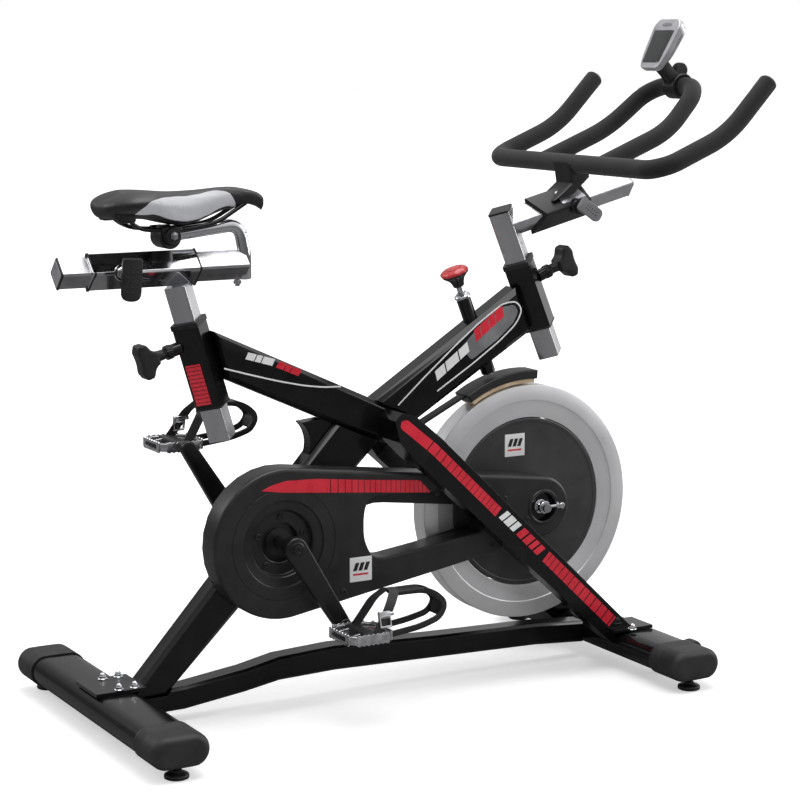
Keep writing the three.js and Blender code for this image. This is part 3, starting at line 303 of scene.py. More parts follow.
# shapes: each returns (points, faces) of one closed surface

def gridFaces(rows, columns, around=True, lengthwise=False):
    # quads between neighbouring rows of a grid whose rows may close on themselves
    lastRow = rows if lengthwise else rows - 1
    lastColumn = columns if around else columns - 1
    r, c = np.meshgrid(np.arange(lastRow), np.arange(lastColumn), indexing="ij")
    r, c = r.ravel(), c.ravel()
    nextRow, nextColumn = (r + 1) % rows, (c + 1) % columns
    return np.stack([r * columns + c, r * columns + nextColumn, nextRow * columns + nextColumn,
                     nextRow * columns + c], 1).tolist()


def rounded(points, size, steps=4, closed=True):
    # each corner becomes a short quadratic curve that leaves both edges at the same distance
    points = np.asarray(points, float)
    back, ahead = np.roll(points, 1, 0) - points, np.roll(points, -1, 0) - points
    backLength = np.linalg.norm(back, axis=1, keepdims=True)
    aheadLength = np.linalg.norm(ahead, axis=1, keepdims=True)
    cut = np.minimum(np.reshape(size, (-1, 1)) * np.ones((len(points), 1)),
                     0.48 * np.minimum(backLength, aheadLength))
    if not closed:
        cut[[0, -1]] = 0
    start = (points + back / backLength * cut)[:, None]
    end = (points + ahead / aheadLength * cut)[:, None]
    t = np.linspace(0, 1, steps + 1)[None, :, None]
    return ((1 - t) ** 2 * start + 2 * t * (1 - t) * points[:, None] + t ** 2 * end).reshape(-1, points.shape[1])


def distinct(path):
    step = np.linalg.norm(np.diff(path, axis=0), axis=1)
    return path[np.concatenate([[True], step > 1e-6])]


def lathe(profile, centre, axis, turns=72):
    # radius and distance along the axis, carried once round it
    profile = np.asarray(profile, float)
    z = unit(axis)
    x = unit(np.cross(z, across if abs(z[1]) < 0.9 else forward))
    y = np.cross(z, x)
    angle = np.linspace(0, 2 * np.pi, turns, endpoint=False)[:, None]
    ring = np.cos(angle) * x + np.sin(angle) * y
    points = np.asarray(centre) + profile[:, None, :1] * ring[None] + profile[:, None, 1:] * z
    return points.reshape(-1, 3), gridFaces(len(profile), turns)


def circle(radius, count=24):
    angle = np.linspace(0, 2 * np.pi, count, endpoint=False)
    return np.stack([radius * np.cos(angle), radius * np.sin(angle)], 1)


def sweep(path, section, up, scale=None, closed=False):
    # a closed section carried along a path, square to it, its second axis towards up
    path = distinct(np.asarray(path, float))
    if closed:
        tangent = np.roll(path, -1, 0) - np.roll(path, 1, 0)
    else:
        tangent = np.gradient(path, axis=0)
    tangent /= np.linalg.norm(tangent, axis=1, keepdims=True)
    side = np.cross(np.broadcast_to(up, tangent.shape), tangent)
    side /= np.linalg.norm(side, axis=1, keepdims=True)
    lift = np.cross(tangent, side)
    size = np.ones(len(path)) if scale is None else np.asarray(scale)
    spread = size[:, None, None] * np.asarray(section)[None]
    points = path[:, None] + spread[..., :1] * side[:, None] + spread[..., 1:] * lift[:, None]
    count = len(section)
    faces = gridFaces(len(path), count, lengthwise=closed)
    if not closed:
        faces += [list(range(count))[::-1], list(range((len(path) - 1) * count, len(path) * count))]
    return points.reshape(-1, 3), faces


def rod(radius, start, end, edge=0.0006, turns=32):
    start, end = np.asarray(start, float), np.asarray(end, float)
    length = np.linalg.norm(end - start)
    profile = [[0, 0], [radius - edge, 0], [radius, edge], [radius, length - edge], [radius - edge, length],
               [0, length]]
    return lathe(profile, start, end - start, turns)


def turnedWay(outline, clockwise):
    outline = np.asarray(outline, float)
    following = np.roll(outline, -1, 0)
    area = np.sum(outline[:, 0] * following[:, 1] - outline[:, 1] * following[:, 0])
    return outline[::-1] if (area < 0) != clockwise else outline


def plate(outline, holes, low, high, edge=0.001, steps=2):
    # a flat outline in X and Z with holes through it, between two Y, its edges rounded
    curve = bpy.data.curves.new("outline", "CURVE")
    curve.dimensions = "2D"
    curve.fill_mode = "BOTH"
    curve.extrude = (high - low) / 2 - edge
    curve.bevel_depth = edge
    curve.bevel_resolution = steps
    curve.offset = -edge
    for line, clockwise in [(outline, False)] + [(hole, True) for hole in holes]:
        line = turnedWay(line, clockwise)
        line = line[np.linalg.norm(line - np.roll(line, 1, 0), axis=1) > 1e-6]
        spline = curve.splines.new("POLY")
        spline.points.add(len(line) - 1)
        flat = np.column_stack([line, np.zeros(len(line)), np.ones(len(line))])
        spline.points.foreach_set("co", flat.ravel())
        spline.use_cyclic_u = True
    holder = bpy.data.objects.new("outline", curve)
    mesh = bpy.data.meshes.new_from_object(holder)
    points = np.zeros(len(mesh.vertices) * 3)
    mesh.vertices.foreach_get("co", points)
    points = points.reshape(-1, 3)[:, [0, 2, 1]] * [1, -1, 1] + [0, (low + high) / 2, 0]
    faces = [list(face.vertices) for face in mesh.polygons]
    bpy.data.objects.remove(holder)
    bpy.data.meshes.remove(mesh)
    bpy.data.curves.remove(curve)
    return points, faces


def laid(shape, origin, along, up):
    # a shape drawn at the origin, its X turned along and its Z turned up
    x = unit(along)
    y = unit(np.cross(up, x))
    z = np.cross(x, y)
    return shape[0] @ np.stack([x, y, z]) + np.asarray(origin), shape[1]


def block(low, high, edge=0.001, corner=None):
    # a box with rounded edges
    low, high = np.minimum(low, high), np.maximum(low, high)
    outline = [[low[0], low[2]], [high[0], low[2]], [high[0], high[2]], [low[0], high[2]]]
    return plate(rounded(outline, corner or edge), [], low[1], high[1], edge)


def skin(grid, normal, thickness):
    # a thin closed film on a grid of points
    rows, columns = grid.shape[:2]
    top = grid + np.asarray(normal) * thickness
    points = np.concatenate([grid.reshape(-1, 3), top.reshape(-1, 3)])
    lower = np.array(gridFaces(rows, columns, around=False))
    upper = lower[:, ::-1] + rows * columns
    r, c = np.arange(rows), np.arange(columns)
    rim = np.concatenate([c, r[1:] * columns + columns - 1, (rows - 1) * columns + c[::-1][1:],
                          r[::-1][1:-1] * columns])
    wrap = np.roll(rim, -1)
    rimFaces = np.stack([wrap, rim, rim + rows * columns, wrap + rows * columns], 1)
    return points, lower.tolist() + upper.tolist() + rimFaces.tolist()


def hexNut(centre, axis, reach, height):
    edge = 0.12 * reach
    profile = [[0, 0], [reach - edge, 0], [reach, edge], [reach, height - edge], [reach - edge, height], [0, height]]
    return lathe(profile, centre, axis, 6)


def dome(centre, axis, radius, height, turns=32):
    # an ellipse's quarter, carried round
    t = np.linspace(0, np.pi / 2, 9)
    profile = np.stack([radius * np.cos(t), height * np.sin(t)], 1)
    return lathe(np.concatenate([[[0, 0]], profile]), centre, axis, turns)


def acornBolt(centre, axis, reach):
    # washer, nut and domed cap
    axis = unit(axis)
    centre = np.asarray(centre, float)
    return [rod(1.35 * reach, centre, centre + axis * 0.0016), hexNut(centre + axis * 0.0014, axis, reach, 0.7 * reach),
            dome(centre + axis * (0.0012 + 0.7 * reach), axis, 0.8 * reach, 0.9 * reach)]


def socketScrew(centre, axis, radius, height):
    # a round head with a sunk socket
    profile = [[0, 0], [radius, 0], [radius, 0.75 * height], [0.85 * radius, height], [0.5 * radius, height],
               [0.45 * radius, 0.4 * height], [0, 0.4 * height]]
    return lathe(profile, centre, axis, 24)


# pieces

def piece(name, shapes, body, finish, stands=(), sharp=32):
    points = np.concatenate([shape[0] for shape in shapes])
    starts = np.cumsum([0] + [len(shape[0]) for shape in shapes[:-1]])
    faces = [[index + int(start) for index in face] for shape, start in zip(shapes, starts) for face in shape[1]]
    mesh = bpy.data.meshes.new(name)
    mesh.from_pydata(points.tolist(), [], faces)
    work = bmesh.new()
    work.from_mesh(mesh)
    bmesh.ops.remove_doubles(work, verts=work.verts, dist=2e-6)
    bmesh.ops.dissolve_degenerate(work, edges=work.edges, dist=1e-7)
    bmesh.ops.recalc_face_normals(work, faces=work.faces)
    work.to_mesh(mesh)
    work.free()
    return settle(name, mesh, body, finish, stands, sharp)


def settle(name, mesh, body, finish, stands, sharp):
    mesh.polygons.foreach_set("use_smooth", np.ones(len(mesh.polygons), bool))
    mesh.set_sharp_from_angle(angle=math.radians(sharp))
    made = bpy.data.objects.new(name, mesh)
    bpy.context.scene.collection.objects.link(made)
    mesh.materials.clear()
    mesh.materials.append(finishes[finish] if isinstance(finish, str) else finish)
    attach(made, body)
    if stands:
        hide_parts(*stands)
    return made


def refined(node, finish, width=0.0008, segments=2, limit=28, sharp=32):
    # the CAD solid with its flat faces whole and its edges rounded
    mesh = nodes[node].data.copy()
    work = bmesh.new()
    work.from_mesh(mesh)
    bmesh.ops.remove_doubles(work, verts=work.verts, dist=1e-5)
    bmesh.ops.dissolve_limit(work, angle_limit=math.radians(0.6), verts=work.verts, edges=work.edges)
    work.to_mesh(mesh)
    work.free()
    body = nodes[node]["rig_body"]
    made = settle(node + "_body", mesh, body, finish, [node], sharp)
    if width:
        bevel = made.modifiers.new("edges", "BEVEL")
        bevel.width = width
        bevel.segments = segments
        bevel.limit_method = "ANGLE"
        bevel.angle_limit = math.radians(limit)
        bevel.harden_normals = True
    return made


# frame

print("frame beams")
for node, width in [("seat_beam", 0.0018), ("head_beam", 0.0014), ("rear_leg", 0.0014), ("gusset", 0.002),
                    ("seat_sleeve", 0.0012), ("head_sleeve", 0.0012), ("front_leg_right", 0.0022),
                    ("front_leg_left", 0.0022), ("base_beam", 0.0016), ("rear_stabiliser", 0.0004),
                    ("front_stabiliser", 0.0004)]:
    refined(node, "paint", width)
refined("flywheel_axle", "screwSteel", 0.0005)
refined("drive_belt", "belt", 0)
refined("guard_back", "guard", 0.0006)
refined("large_pulley", "darkSteel", 0.0004)
refined("small_pulley", "screwSteel", 0.0004)
refined("crank_axle", "darkSteel", 0.0005)

# shared outlines and small shapes

drawingZero = crankAt[0] + 0.202       # outlines are drawn in mm, from the floor under this X


def drawn(outline):
    return np.asarray(outline, float) / 1000 + [drawingZero, 0]


def ring(profile, centre, axis, turns=72):
    # a closed line of radius and distance along the axis, carried once round it
    points, faces = lathe(profile, centre, axis, turns)
    return points, gridFaces(len(profile), turns, lengthwise=True)


def onEdge(side, corner=0.003, steps=4):
    # a square tube's section standing on edge, its corners rounded
    reach = side / math.sqrt(2)
    return rounded([[reach, 0], [0, reach], [-reach, 0], [0, -reach]], corner, steps)


def sleeve(start, end, outer, inner, corner=0.003, notch=0.0, edge=0.0006):
    # a square tube on edge: outer and inner sections joined at both ends, the start cut back at its sides
    start, end = np.asarray(start, float), np.asarray(end, float)
    along = unit(end - start)
    side, lift = across, np.cross(along, across)
    outerRing, innerRing = onEdge(outer, corner), onEdge(inner, corner)
    slim = onEdge(outer - 2 * edge, corner)
    rows = []
    for section, base, step in [(slim, start, 0), (outerRing, start, edge), (outerRing, end, -edge), (slim, end, 0),
                                (innerRing, end, 0), (innerRing, start, 0)]:
        points = base + along * step + section[:, :1] * side + section[:, 1:] * lift
        if base is start:
            points = points + np.abs(section[:, :1]) / outer * notch * along
        rows.append(points)
    return np.concatenate(rows), gridFaces(6, len(outerRing), lengthwise=True)


def band(first, firstRadius, last, lastRadius, steps=48):
    # the line of a belt round two circles, in X and Z
    first, last = np.asarray(first, float), np.asarray(last, float)
    run = last - first
    course = math.atan2(run[1], run[0])
    lean = math.acos((firstRadius - lastRadius) / np.linalg.norm(run))
    near = np.linspace(course + lean, course + 2 * math.pi - lean, steps)
    far = np.linspace(course - lean, course + lean, steps)
    return np.concatenate([first + firstRadius * np.stack([np.cos(near), np.sin(near)], 1),
                           last + lastRadius * np.stack([np.cos(far), np.sin(far)], 1)])


def wall(rows):
    # outlines in X and Z, each at its own Y, joined in order
    points = [np.column_stack([line[:, 0], np.full(len(line), y), line[:, 1]]) for line, y in rows]
    return np.concatenate(points), gridFaces(len(rows), len(rows[0][0]), lengthwise=True)


def roundEnds(path, radius, bulge=0.45):
    # both ends of a path in short steps, with the sizes of an ellipse's quarter
    path = distinct(np.asarray(path, float))
    t = np.linspace(0, 1, 8)
    size = np.maximum(np.sqrt(1 - (1 - t) ** 2), 0.05)
    reach = bulge * radius * t[:, None]
    headPart = path[0] + unit(path[1] - path[0]) * reach
    tailPart = path[-1] - unit(path[-1] - path[-2]) * reach[::-1]
    scale = np.concatenate([size, np.ones(len(path) - 2), size[::-1]])
    return np.concatenate([headPart, path[1:-1], tailPart]), scale


def flatBar(width, height, corner=0.3):
    half = [[width / 2, -height / 2], [width / 2, height / 2], [-width / 2, height / 2], [-width / 2, -height / 2]]
    return rounded(half, corner * min(width, height), 3)


# stabilisers: end caps, feet and transport wheels

capSizes = dict(halfWidth=0.0505, halfHeight=0.0275, length=0.0797, ribs=6, ribPitch=0.005, ribDepth=0.0009,
                endRound=0.016)


def capShape(centre, side):
    # a stadium carried outwards; its upper half is ribbed next to the tube and its end closes in a quarter circle
    size = capSizes
    t = np.linspace(0, 1, 12)
    straight = np.linspace(0, size["length"] - size["endRound"], 90)
    y = np.concatenate([straight, size["length"] - size["endRound"] * (1 - np.sin(t[1:] * np.pi / 2))])
    inset = np.concatenate([0 * straight, 0.6 * size["endRound"] * (1 - np.cos(t[1:] * np.pi / 2))])
    ribbed = (y < size["ribs"] * size["ribPitch"]) & (y > 0.003)
    groove = size["ribDepth"] * (np.sin(np.pi * y / size["ribPitch"]) ** 8) * ribbed
    angle = np.linspace(0, 2 * np.pi, 72, endpoint=False)
    upper = np.clip(np.sin(angle) * 2.2, 0, 1)
    radius = size["halfHeight"] - inset[:, None] - groove[:, None] * upper[None]
    straightHalf = (size["halfWidth"] - size["halfHeight"]) * np.clip(np.cos(angle) * 6, -1, 1)
    x = centre[0] + straightHalf[None] * (1 - inset[:, None] / size["halfWidth"]) + radius * np.cos(angle)
    z = centre[2] + radius * np.sin(angle)
    points = np.stack([x, np.broadcast_to((centre[1] + side * y)[:, None], x.shape), z], 2)
    count = len(angle)
    faces = gridFaces(len(y), count)
    faces += [list(range(count))[::-1], list(range((len(y) - 1) * count, len(y) * count))]
    return points.reshape(-1, 3), faces


def footShape(centre):
    # a soft sole, a collar and a threaded stem
    turnsOfThread = np.linspace(0.0145, 0.034, 26)
    thread = np.stack([0.0047 + 0.0004 * (np.arange(26) % 2), turnsOfThread], 1)
    profile = [[0, 0], [0.0175, 0], [0.0197, 0.0012], [0.02, 0.003], [0.02, 0.0062], [0.0185, 0.0078],
               [0.0125, 0.0092], [0.0085, 0.0098], [0.0085, 0.0138], [0.0048, 0.0142]]
    return lathe(np.concatenate([profile, thread, [[0, 0.034]]]), centre, upward, 48)


print("caps, feet and transport wheels")
for end in ("rear", "front"):
    for name, side in sides.items():
        node = "%s_cap_%s" % (end, name)
        low, high = corners(node)
        middle = np.array([(low[0] + high[0]) / 2, side * 0.2303, (low[2] + high[2]) / 2])
        piece(node + "_moulding", [capShape(middle, side)], "root", "rubber", [node], sharp=40)
        foot = "%s_foot_%s" % (end, name)
        low, high = corners(foot)
        piece(foot + "_turned", [footShape([(low[0] + high[0]) / 2, (low[1] + high[1]) / 2, 0])], "root",
              "plastic", [foot], sharp=50)
for name, side in sides.items():
    node = "transport_wheel_" + name
    low, high = corners(node)
    centre = (low + high) / 2
    half, radius = (high[1] - low[1]) / 2, (high[2] - low[2]) / 2
    profile = [[0.0044, -half], [0.009, -half], [0.0095, -half + 0.003], [0.0145, -half + 0.003],
               [0.0155, -half], [radius - 0.0025, -half], [radius, -half + 0.0025], [radius, -0.0015],
               [radius - 0.0012, 0], [radius, 0.0015], [radius, half - 0.0025], [radius - 0.0025, half],
               [0.0155, half], [0.0145, half - 0.003], [0.0095, half - 0.003], [0.009, half], [0.0044, half]]
    piece(node + "_tyre", [ring(profile, centre, across, 64)], nodes[node]["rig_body"], "plastic",
          [node])

studs = [acornBolt([drawingZero - 0.490, side * 0.0365, 0.0783], upward, 0.0062) for side in (-1, 1)]
studs += [acornBolt([drawingZero - 0.462, side * 0.0365, 0.0783], upward, 0.0062) for side in (-1, 1)]
studs += [acornBolt([drawingZero + 0.474, side * y, 0.0783], upward, 0.0062)
          for side in (-1, 1) for y in (0.0705, 0.138)]
piece("stabiliser_nuts", [shape for stud in studs for shape in stud], "root", "chrome")

# flywheel

wheelSizes = dict(rim=0.215, step=0.186, dish=0.155, halfWidth=0.021, turns=180)


def flywheelShapes():
    # the rim's closed section and the hub's, both carried round the axle
    size = wheelSizes
    rim, step, dish, half = size["rim"], size["step"], size["dish"], size["halfWidth"]
    oneSide = [[dish, half - 0.006], [dish + 0.0006, half - 0.0033], [dish + 0.002, half - 0.0027],
               [step - 0.0022, half - 0.0027], [step - 0.0006, half - 0.0024], [step, half - 0.0006],
               [step + 0.0012, half], [rim - 0.0032, half], [rim - 0.001, half - 0.0008], [rim, half - 0.0028]]
    other = [[radius, -y] for radius, y in oneSide[::-1]]
    hub = [[0.009, -0.036], [0.0235, -0.036], [0.026, -0.034], [0.026, 0.034], [0.0235, 0.036], [0.009, 0.036]]
    return [ring(oneSide + other, wheelAt, across, size["turns"]), ring(hub, wheelAt, across, 72)]


print("flywheel")
piece("flywheel_turned", flywheelShapes(), "flywheel", "wheelSteel", ["flywheel"], sharp=25)
for name, side in sides.items():
    node = "flywheel_disc_" + name
    profile = [[0.0265, side * 0.0155], [0.0265, side * 0.0182], [0.029, side * 0.0188], [0.036, side * 0.0188],
               [0.038, side * 0.0180], [0.146, side * 0.0180], [0.1475, side * 0.0187], [0.152, side * 0.0187],
               [0.154, side * 0.0172], [0.154, side * 0.0155]]
    piece(node + "_pressed", [ring(profile, wheelAt, across, 180)], "flywheel", "disc", [node],
          sharp=25)
axleSide = -0.0666
axleParts = [rod(0.0135, wheelAt + [0, axleSide, 0], wheelAt + [0, axleSide - 0.002, 0]),
             hexNut(wheelAt + [0, axleSide - 0.0018, 0], -across, 0.0115, 0.009),
             rod(0.0072, wheelAt + [0, axleSide - 0.008, 0], wheelAt + [0, axleSide - 0.020, 0], 0.0012),
             rod(0.0034, wheelAt + [0, axleSide - 0.0135, 0], wheelAt + [0.040, axleSide - 0.0135, 0.001]),
             ring([[0.0072, -0.003], [0.0105, -0.003], [0.0115, -0.002], [0.0115, 0.002], [0.0105, 0.003],
                   [0.0072, 0.003]], wheelAt + [0, axleSide - 0.0135, 0], across, 40),
             hexNut(wheelAt + [0.024, axleSide - 0.0135, 0.0006], forward, 0.0068, 0.0055),
             rod(0.0058, wheelAt + [0.034, axleSide - 0.008, 0.001], wheelAt + [0.034, axleSide - 0.021, 0.001],
                 0.0012)]
piece("axle_tensioner", axleParts, "root", "chrome")

# belt guard

guardSizes = dict(rearRadius=0.130, frontRadius=0.055, edge=0.0065, dish=0.098, recessDepth=0.016, axleHole=0.026)
windowCorners = [(-48, 330), (-44, 352), (-28, 367), (14, 366), (188, 355), (196, 345), (196, 290), (188, 280),
                 (-10, 254), (-34, 262), (-48, 292)]
windowRounds = [18, 14, 20, 6, 5, 8, 8, 5, 20, 14, 20]


def windowOutline(grow=0.0):
    # the window's line, moved outwards from its middle by the same share all round
    line = rounded(drawn(windowCorners), np.array(windowRounds) / 1000, 6)
    outwards = np.roll(line, -1, 0) - np.roll(line, 1, 0)
    outwards = np.stack([outwards[:, 1], -outwards[:, 0]], 1)
    outwards /= np.maximum(np.linalg.norm(outwards, axis=1, keepdims=True), 1e-9)
    middle = line.mean(0)
    outwards *= np.sign(np.sum(outwards * (line - middle), 1, keepdims=True))
    return line + grow * outwards


def guardShapes():
    # rim and window walls turn into the face in quarter circles; the dish round the crank is a stepped ring
    size = guardSizes
    crank2, wheel2 = crankAt[[0, 2]], wheelAt[[0, 2]]
    face, back, edge = -guardFace, -0.0296, size["edge"]
    t = np.linspace(0, np.pi / 2, 7)
    outline = lambda inset: band(crank2, size["rearRadius"] - inset, wheel2, size["frontRadius"] - inset)
    outer = [(outline(0), back)] + [(outline(edge * (1 - np.cos(a))), face + edge * (1 - np.sin(a))) for a in t]
    inner = [(outline(0.0105), face + 0.003), (outline(0.003), face + 0.006), (outline(0.003), back)]
    lip = 0.0035
    windowRows = [(windowOutline(0), back)]
    windowRows += [(windowOutline(lip * (1 - np.cos(a))), face + lip * (1 - np.sin(a))) for a in t]
    windowRows += [(windowOutline(0.006), face + 0.002), (windowOutline(0.003), face + 0.006),
                   (windowOutline(0.003), back)]
    holes = [windowOutline(lip * 0.9), circle(size["dish"], 128) + crank2, circle(size["axleHole"], 64) + wheel2]
    flat = plate(outline(edge * 0.94), holes, face, face + 0.003, 0.0001, 0)
    deep = size["recessDepth"]
    profile = [[0.0985, 0], [0.0978, 0.0009], [0.0962, 0.0009], [0.0955, 0], [0.0762, 0], [0.0753, 0.0006],
               [0.0742, 0.0032], [0.073, 0.0038], [0.0605, 0.0046], [0.0585, 0.0056], [0.0570, 0.0075],
               [0.0560, deep - 0.002], [0.0545, deep], [0.0355, deep], [0.0342, deep + 0.001],
               [0.0342, deep + 0.008], [0.0365, deep + 0.008], [0.0365, deep + 0.0025], [0.0585, deep + 0.0025],
               [0.0605, 0.0085], [0.0985, 0.0060]]
    dish = ring([[radius, down] for radius, down in profile], [crankAt[0], face, crankAt[2]], across, 144)
    axleLip = ring([[0.026, -0.0014], [0.0275, -0.0022], [0.0305, -0.0022], [0.032, -0.0006], [0.032, 0.003],
                    [0.026, 0.006]], [wheelAt[0], face, wheelAt[2]], across, 72)
    return [wall(outer + inner), wall(windowRows), flat, dish, axleLip]


print("belt guard")
piece("guard_cover_moulding", guardShapes(), "root", "guard", ["guard_cover"], sharp=24)
screws = [socketScrew([x, -guardFace + 0.0004, z], -across, 0.0052, 0.0018)
          for x, z in drawn([(98, 358), (208, 254), (285, 292), (236, 335), (-90, 205)])]
turnAt = np.linspace(0.3, 0.3 + 2 * np.pi, 5, endpoint=False)
screws += [socketScrew([crankAt[0] + 0.0445 * math.cos(a), -guardFace + guardSizes["recessDepth"] + 0.0004,
                        crankAt[2] + 0.0445 * math.sin(a)], -across, 0.0056, 0.0030) for a in turnAt]
piece("guard_screws", screws, "root", "darkSteel")

# cranks, pedals and toe clips

print("cranks and pedals")
crankSizes = dict(root=0.0205, tip=0.0138, thickness=0.018, edge=0.0042, inner=0.107)
pedalSizes = dict(length=0.084, width=0.092, height=0.021, corner=0.011, wall=0.0075, teeth=7, toothDepth=0.0014)


def crankShapes(side):
    # a tapered arm with rounded edges, its boss, a cap over its bolt and the pedal's spindle
    size = crankSizes
    end = pedalAt[side]
    out = sides[side]
    line = band(crankAt[[0, 2]], size["root"], end[[0, 2]], size["tip"], 24)
    low, high = sorted([out * size["inner"], out * (size["inner"] + size["thickness"])])
    arm = plate(line, [], low, high, size["edge"], 4)
    at = lambda place, y: np.array([place[0], out * y, place[2]])
    outer = size["inner"] + size["thickness"]
    cap = lathe([[0, 0], [0.0128, 0], [0.0132, 0.0006], [0.0118, 0.0016], [0.0102, 0.0018], [0.0096, 0.0010],
                 [0.0086, 0.0010], [0.0080, 0.0024], [0.0052, 0.0030], [0.0040, 0.0012], [0, 0.0012]],
                at(crankAt, outer - 0.0002), across * out, 40)
    return [arm, rod(0.017, at(crankAt, 0.0973), at(crankAt, size["inner"] + 0.004), 0.001, 40), cap,
            rod(0.0122, at(end, outer - 0.001), at(end, outer + 0.0024), 0.0012, 40),
            rod(0.0062, at(end, outer), at(end, outer + 0.093), 0.001, 24)]


def flatlaid(shape, origin):
    # a shape drawn in X and Z, laid down so that its Z runs across the cycle
    return laid(shape, origin, forward, across)


def cageOutline(grow=0.0):
    size = pedalSizes
    half, wide, cut = size["length"] / 2 + grow, size["width"] / 2 + grow, size["corner"]
    line = np.array([[half - cut, -wide], [half, -wide + cut], [half, wide - cut], [half - cut, wide],
                     [cut - half, wide], [-half, wide - cut], [-half, cut - wide], [cut - half, -wide]])
    return rounded(line, 0.003, 3)


def toothedStrip(start, end, depth, height):
    # a strip whose upper edge runs up and down in teeth
    count = 6 * pedalSizes["teeth"]
    t = np.linspace(0, 1, count + 1)
    tooth = depth * (np.sin(np.pi * pedalSizes["teeth"] * t) ** 2 > 0.45)
    top = np.stack([start + (end - start) * t, height / 2 + tooth], 1)
    bottom = top[::-1] * [1, -1]
    return np.concatenate([top, bottom])


def pedalShapes(side):
    # cage walls with toothed edges round a pierced plate; the black core and inserts are separate
    size = pedalSizes
    out = sides[side]
    centre = pedalAt[side] * [1, 0, 1] + across * out * 0.180
    half, wide, height = size["length"] / 2, size["width"] / 2, size["height"]
    ringHole = cageOutline(-size["wall"])
    ringPart = flatlaid(plate(cageOutline(-0.0012), [ringHole], -height * 0.34, height * 0.34, 0.0014), centre)
    walls = []
    for sign in (-1, 1):
        strip = toothedStrip(-wide + size["corner"], wide - size["corner"], size["toothDepth"], height - 0.004)
        shape = plate(strip, [rounded([[-0.024, -0.0042], [0.024, -0.0042], [0.024, 0.0042], [-0.024, 0.0042]],
                                      0.002, 3)], -0.0013, 0.0013, 0.0004)
        walls.append(laid(shape, centre + forward * sign * (half - 0.0013), across, upward))
        strip = toothedStrip(-half + size["corner"], half - size["corner"], size["toothDepth"], height - 0.005)
        shape = plate(strip, [], -0.0012, 0.0012, 0.0004)
        walls.append(laid(shape, centre + across * sign * (wide - 0.0012), forward, upward))
    ribs = [plate(rounded([[-half + 0.006, -0.0028], [-0.012, -0.0062], [0.012, -0.0062], [half - 0.006, -0.0028],
                           [half - 0.006, 0.0028], [0.012, 0.0062], [-0.012, 0.0062], [-half + 0.006, 0.0028]],
                          0.001, 2), [], y - 0.0026, y + 0.0026, 0.0006) for y in (-0.021, 0.021)]
    ribs = [(points + centre, faces) for points, faces in ribs]
    core = [flatlaid(plate(rounded([[-0.0125, -0.037], [0.0125, -0.037], [0.0125, 0.037], [-0.0125, 0.037]], 0.004),
                           [], -0.0085, 0.0085, 0.0018), centre)]
    for sign in (-1, 1):
        core.append(laid(plate(rounded([[-0.0235, -0.0038], [0.0235, -0.0038], [0.0235, 0.0038],
                                        [-0.0235, 0.0038]], 0.0015), [], -0.0012, 0.0012, 0.0003),
                         centre + forward * sign * (half - 0.0022), across, upward))
    accent = [flatlaid(plate(rounded([[0.014, -0.015], [0.025, -0.011], [0.025, 0.011], [0.014, 0.015]], 0.003),
                             [], 0.0070, 0.0088, 0.0005), centre)]
    return [ringPart] + walls + ribs, core, accent


def clipShapes(side):
    # two flat rails rise from the pedal's front and fold back over the toes; a bridge joins them at the front
    out = sides[side]
    centre = pedalAt[side] * [1, 0, 1] + across * out * 0.180
    x, z = pedalSizes["length"] / 2, 0.002
    section = flatBar(0.0105, 0.0044)
    rails = []
    for sign in (-1, 1):
        line = [(x - 0.006, 0.026, z - 0.004), (x + 0.060, 0.0255, z + 0.003), (x + 0.100, 0.021, z + 0.014),
                (x + 0.112, 0.019, z + 0.036), (x + 0.094, 0.015, z + 0.054), (x + 0.072, 0.011, z + 0.062),
                (x + 0.016, 0.0085, z + 0.063)]
        line = np.array(line) * [1, sign, 1] + centre
        rails.append(sweep(rounded(line, 0.020, 8, closed=False), section, across * sign))
    low, high = (x + 0.0985, -0.020, z + 0.014), (x + 0.110, 0.020, z + 0.040)
    front = plate(rounded([[low[0], low[2]], [high[0], low[2] + 0.010], [high[0], high[2]],
                           [low[0] + 0.006, high[2] - 0.006]], 0.003), [], low[1], high[1], 0.001)
    toe = block((x + 0.014, -0.0155, z + 0.058), (x + 0.072, 0.0155, z + 0.0665), 0.0022, 0.004)
    return rails + [(part[0] + centre, part[1]) for part in (front, toe)]


def strapShapes(side):
    # a woven strap passes under the pedal's plate and over the toe clip, through a sprung buckle
    out = sides[side]
    centre = pedalAt[side] * [1, 0, 1] + across * out * 0.180
    loop = np.array([(0.004, -0.034, -0.0085), (0.010, -0.0385, 0.004), (0.040, -0.030, 0.050),
                     (0.058, -0.013, 0.0705), (0.058, 0.013, 0.0705), (0.040, 0.030, 0.050),
                     (0.010, 0.0385, 0.004), (0.004, 0.034, -0.0085)])
    line = rounded(loop + centre, 0.010, 8)
    strap = sweep(line, flatBar(0.0022, 0.017), forward, closed=True)
    buckleAt = centre + [0.027, out * 0.0345, 0.028]
    tilt = unit([0.55, -0.20 * out, 0.83])
    buckle = laid(plate(rounded([[-0.011, -0.014], [0.011, -0.014], [0.011, 0.014], [-0.011, 0.014]], 0.002),
                        [rounded([[-0.0085, -0.0105], [0.0085, -0.0105], [0.0085, 0.002], [-0.0085, 0.002]],
                                 0.001)], -0.0032, 0.0032, 0.0008), buckleAt, forward, tilt)
    roller = rod(0.0034, buckleAt - forward * 0.012 + tilt * 0.0105, buckleAt + forward * 0.012 + tilt * 0.0105,
                 turns=20)
    return [strap], [buckle, roller]


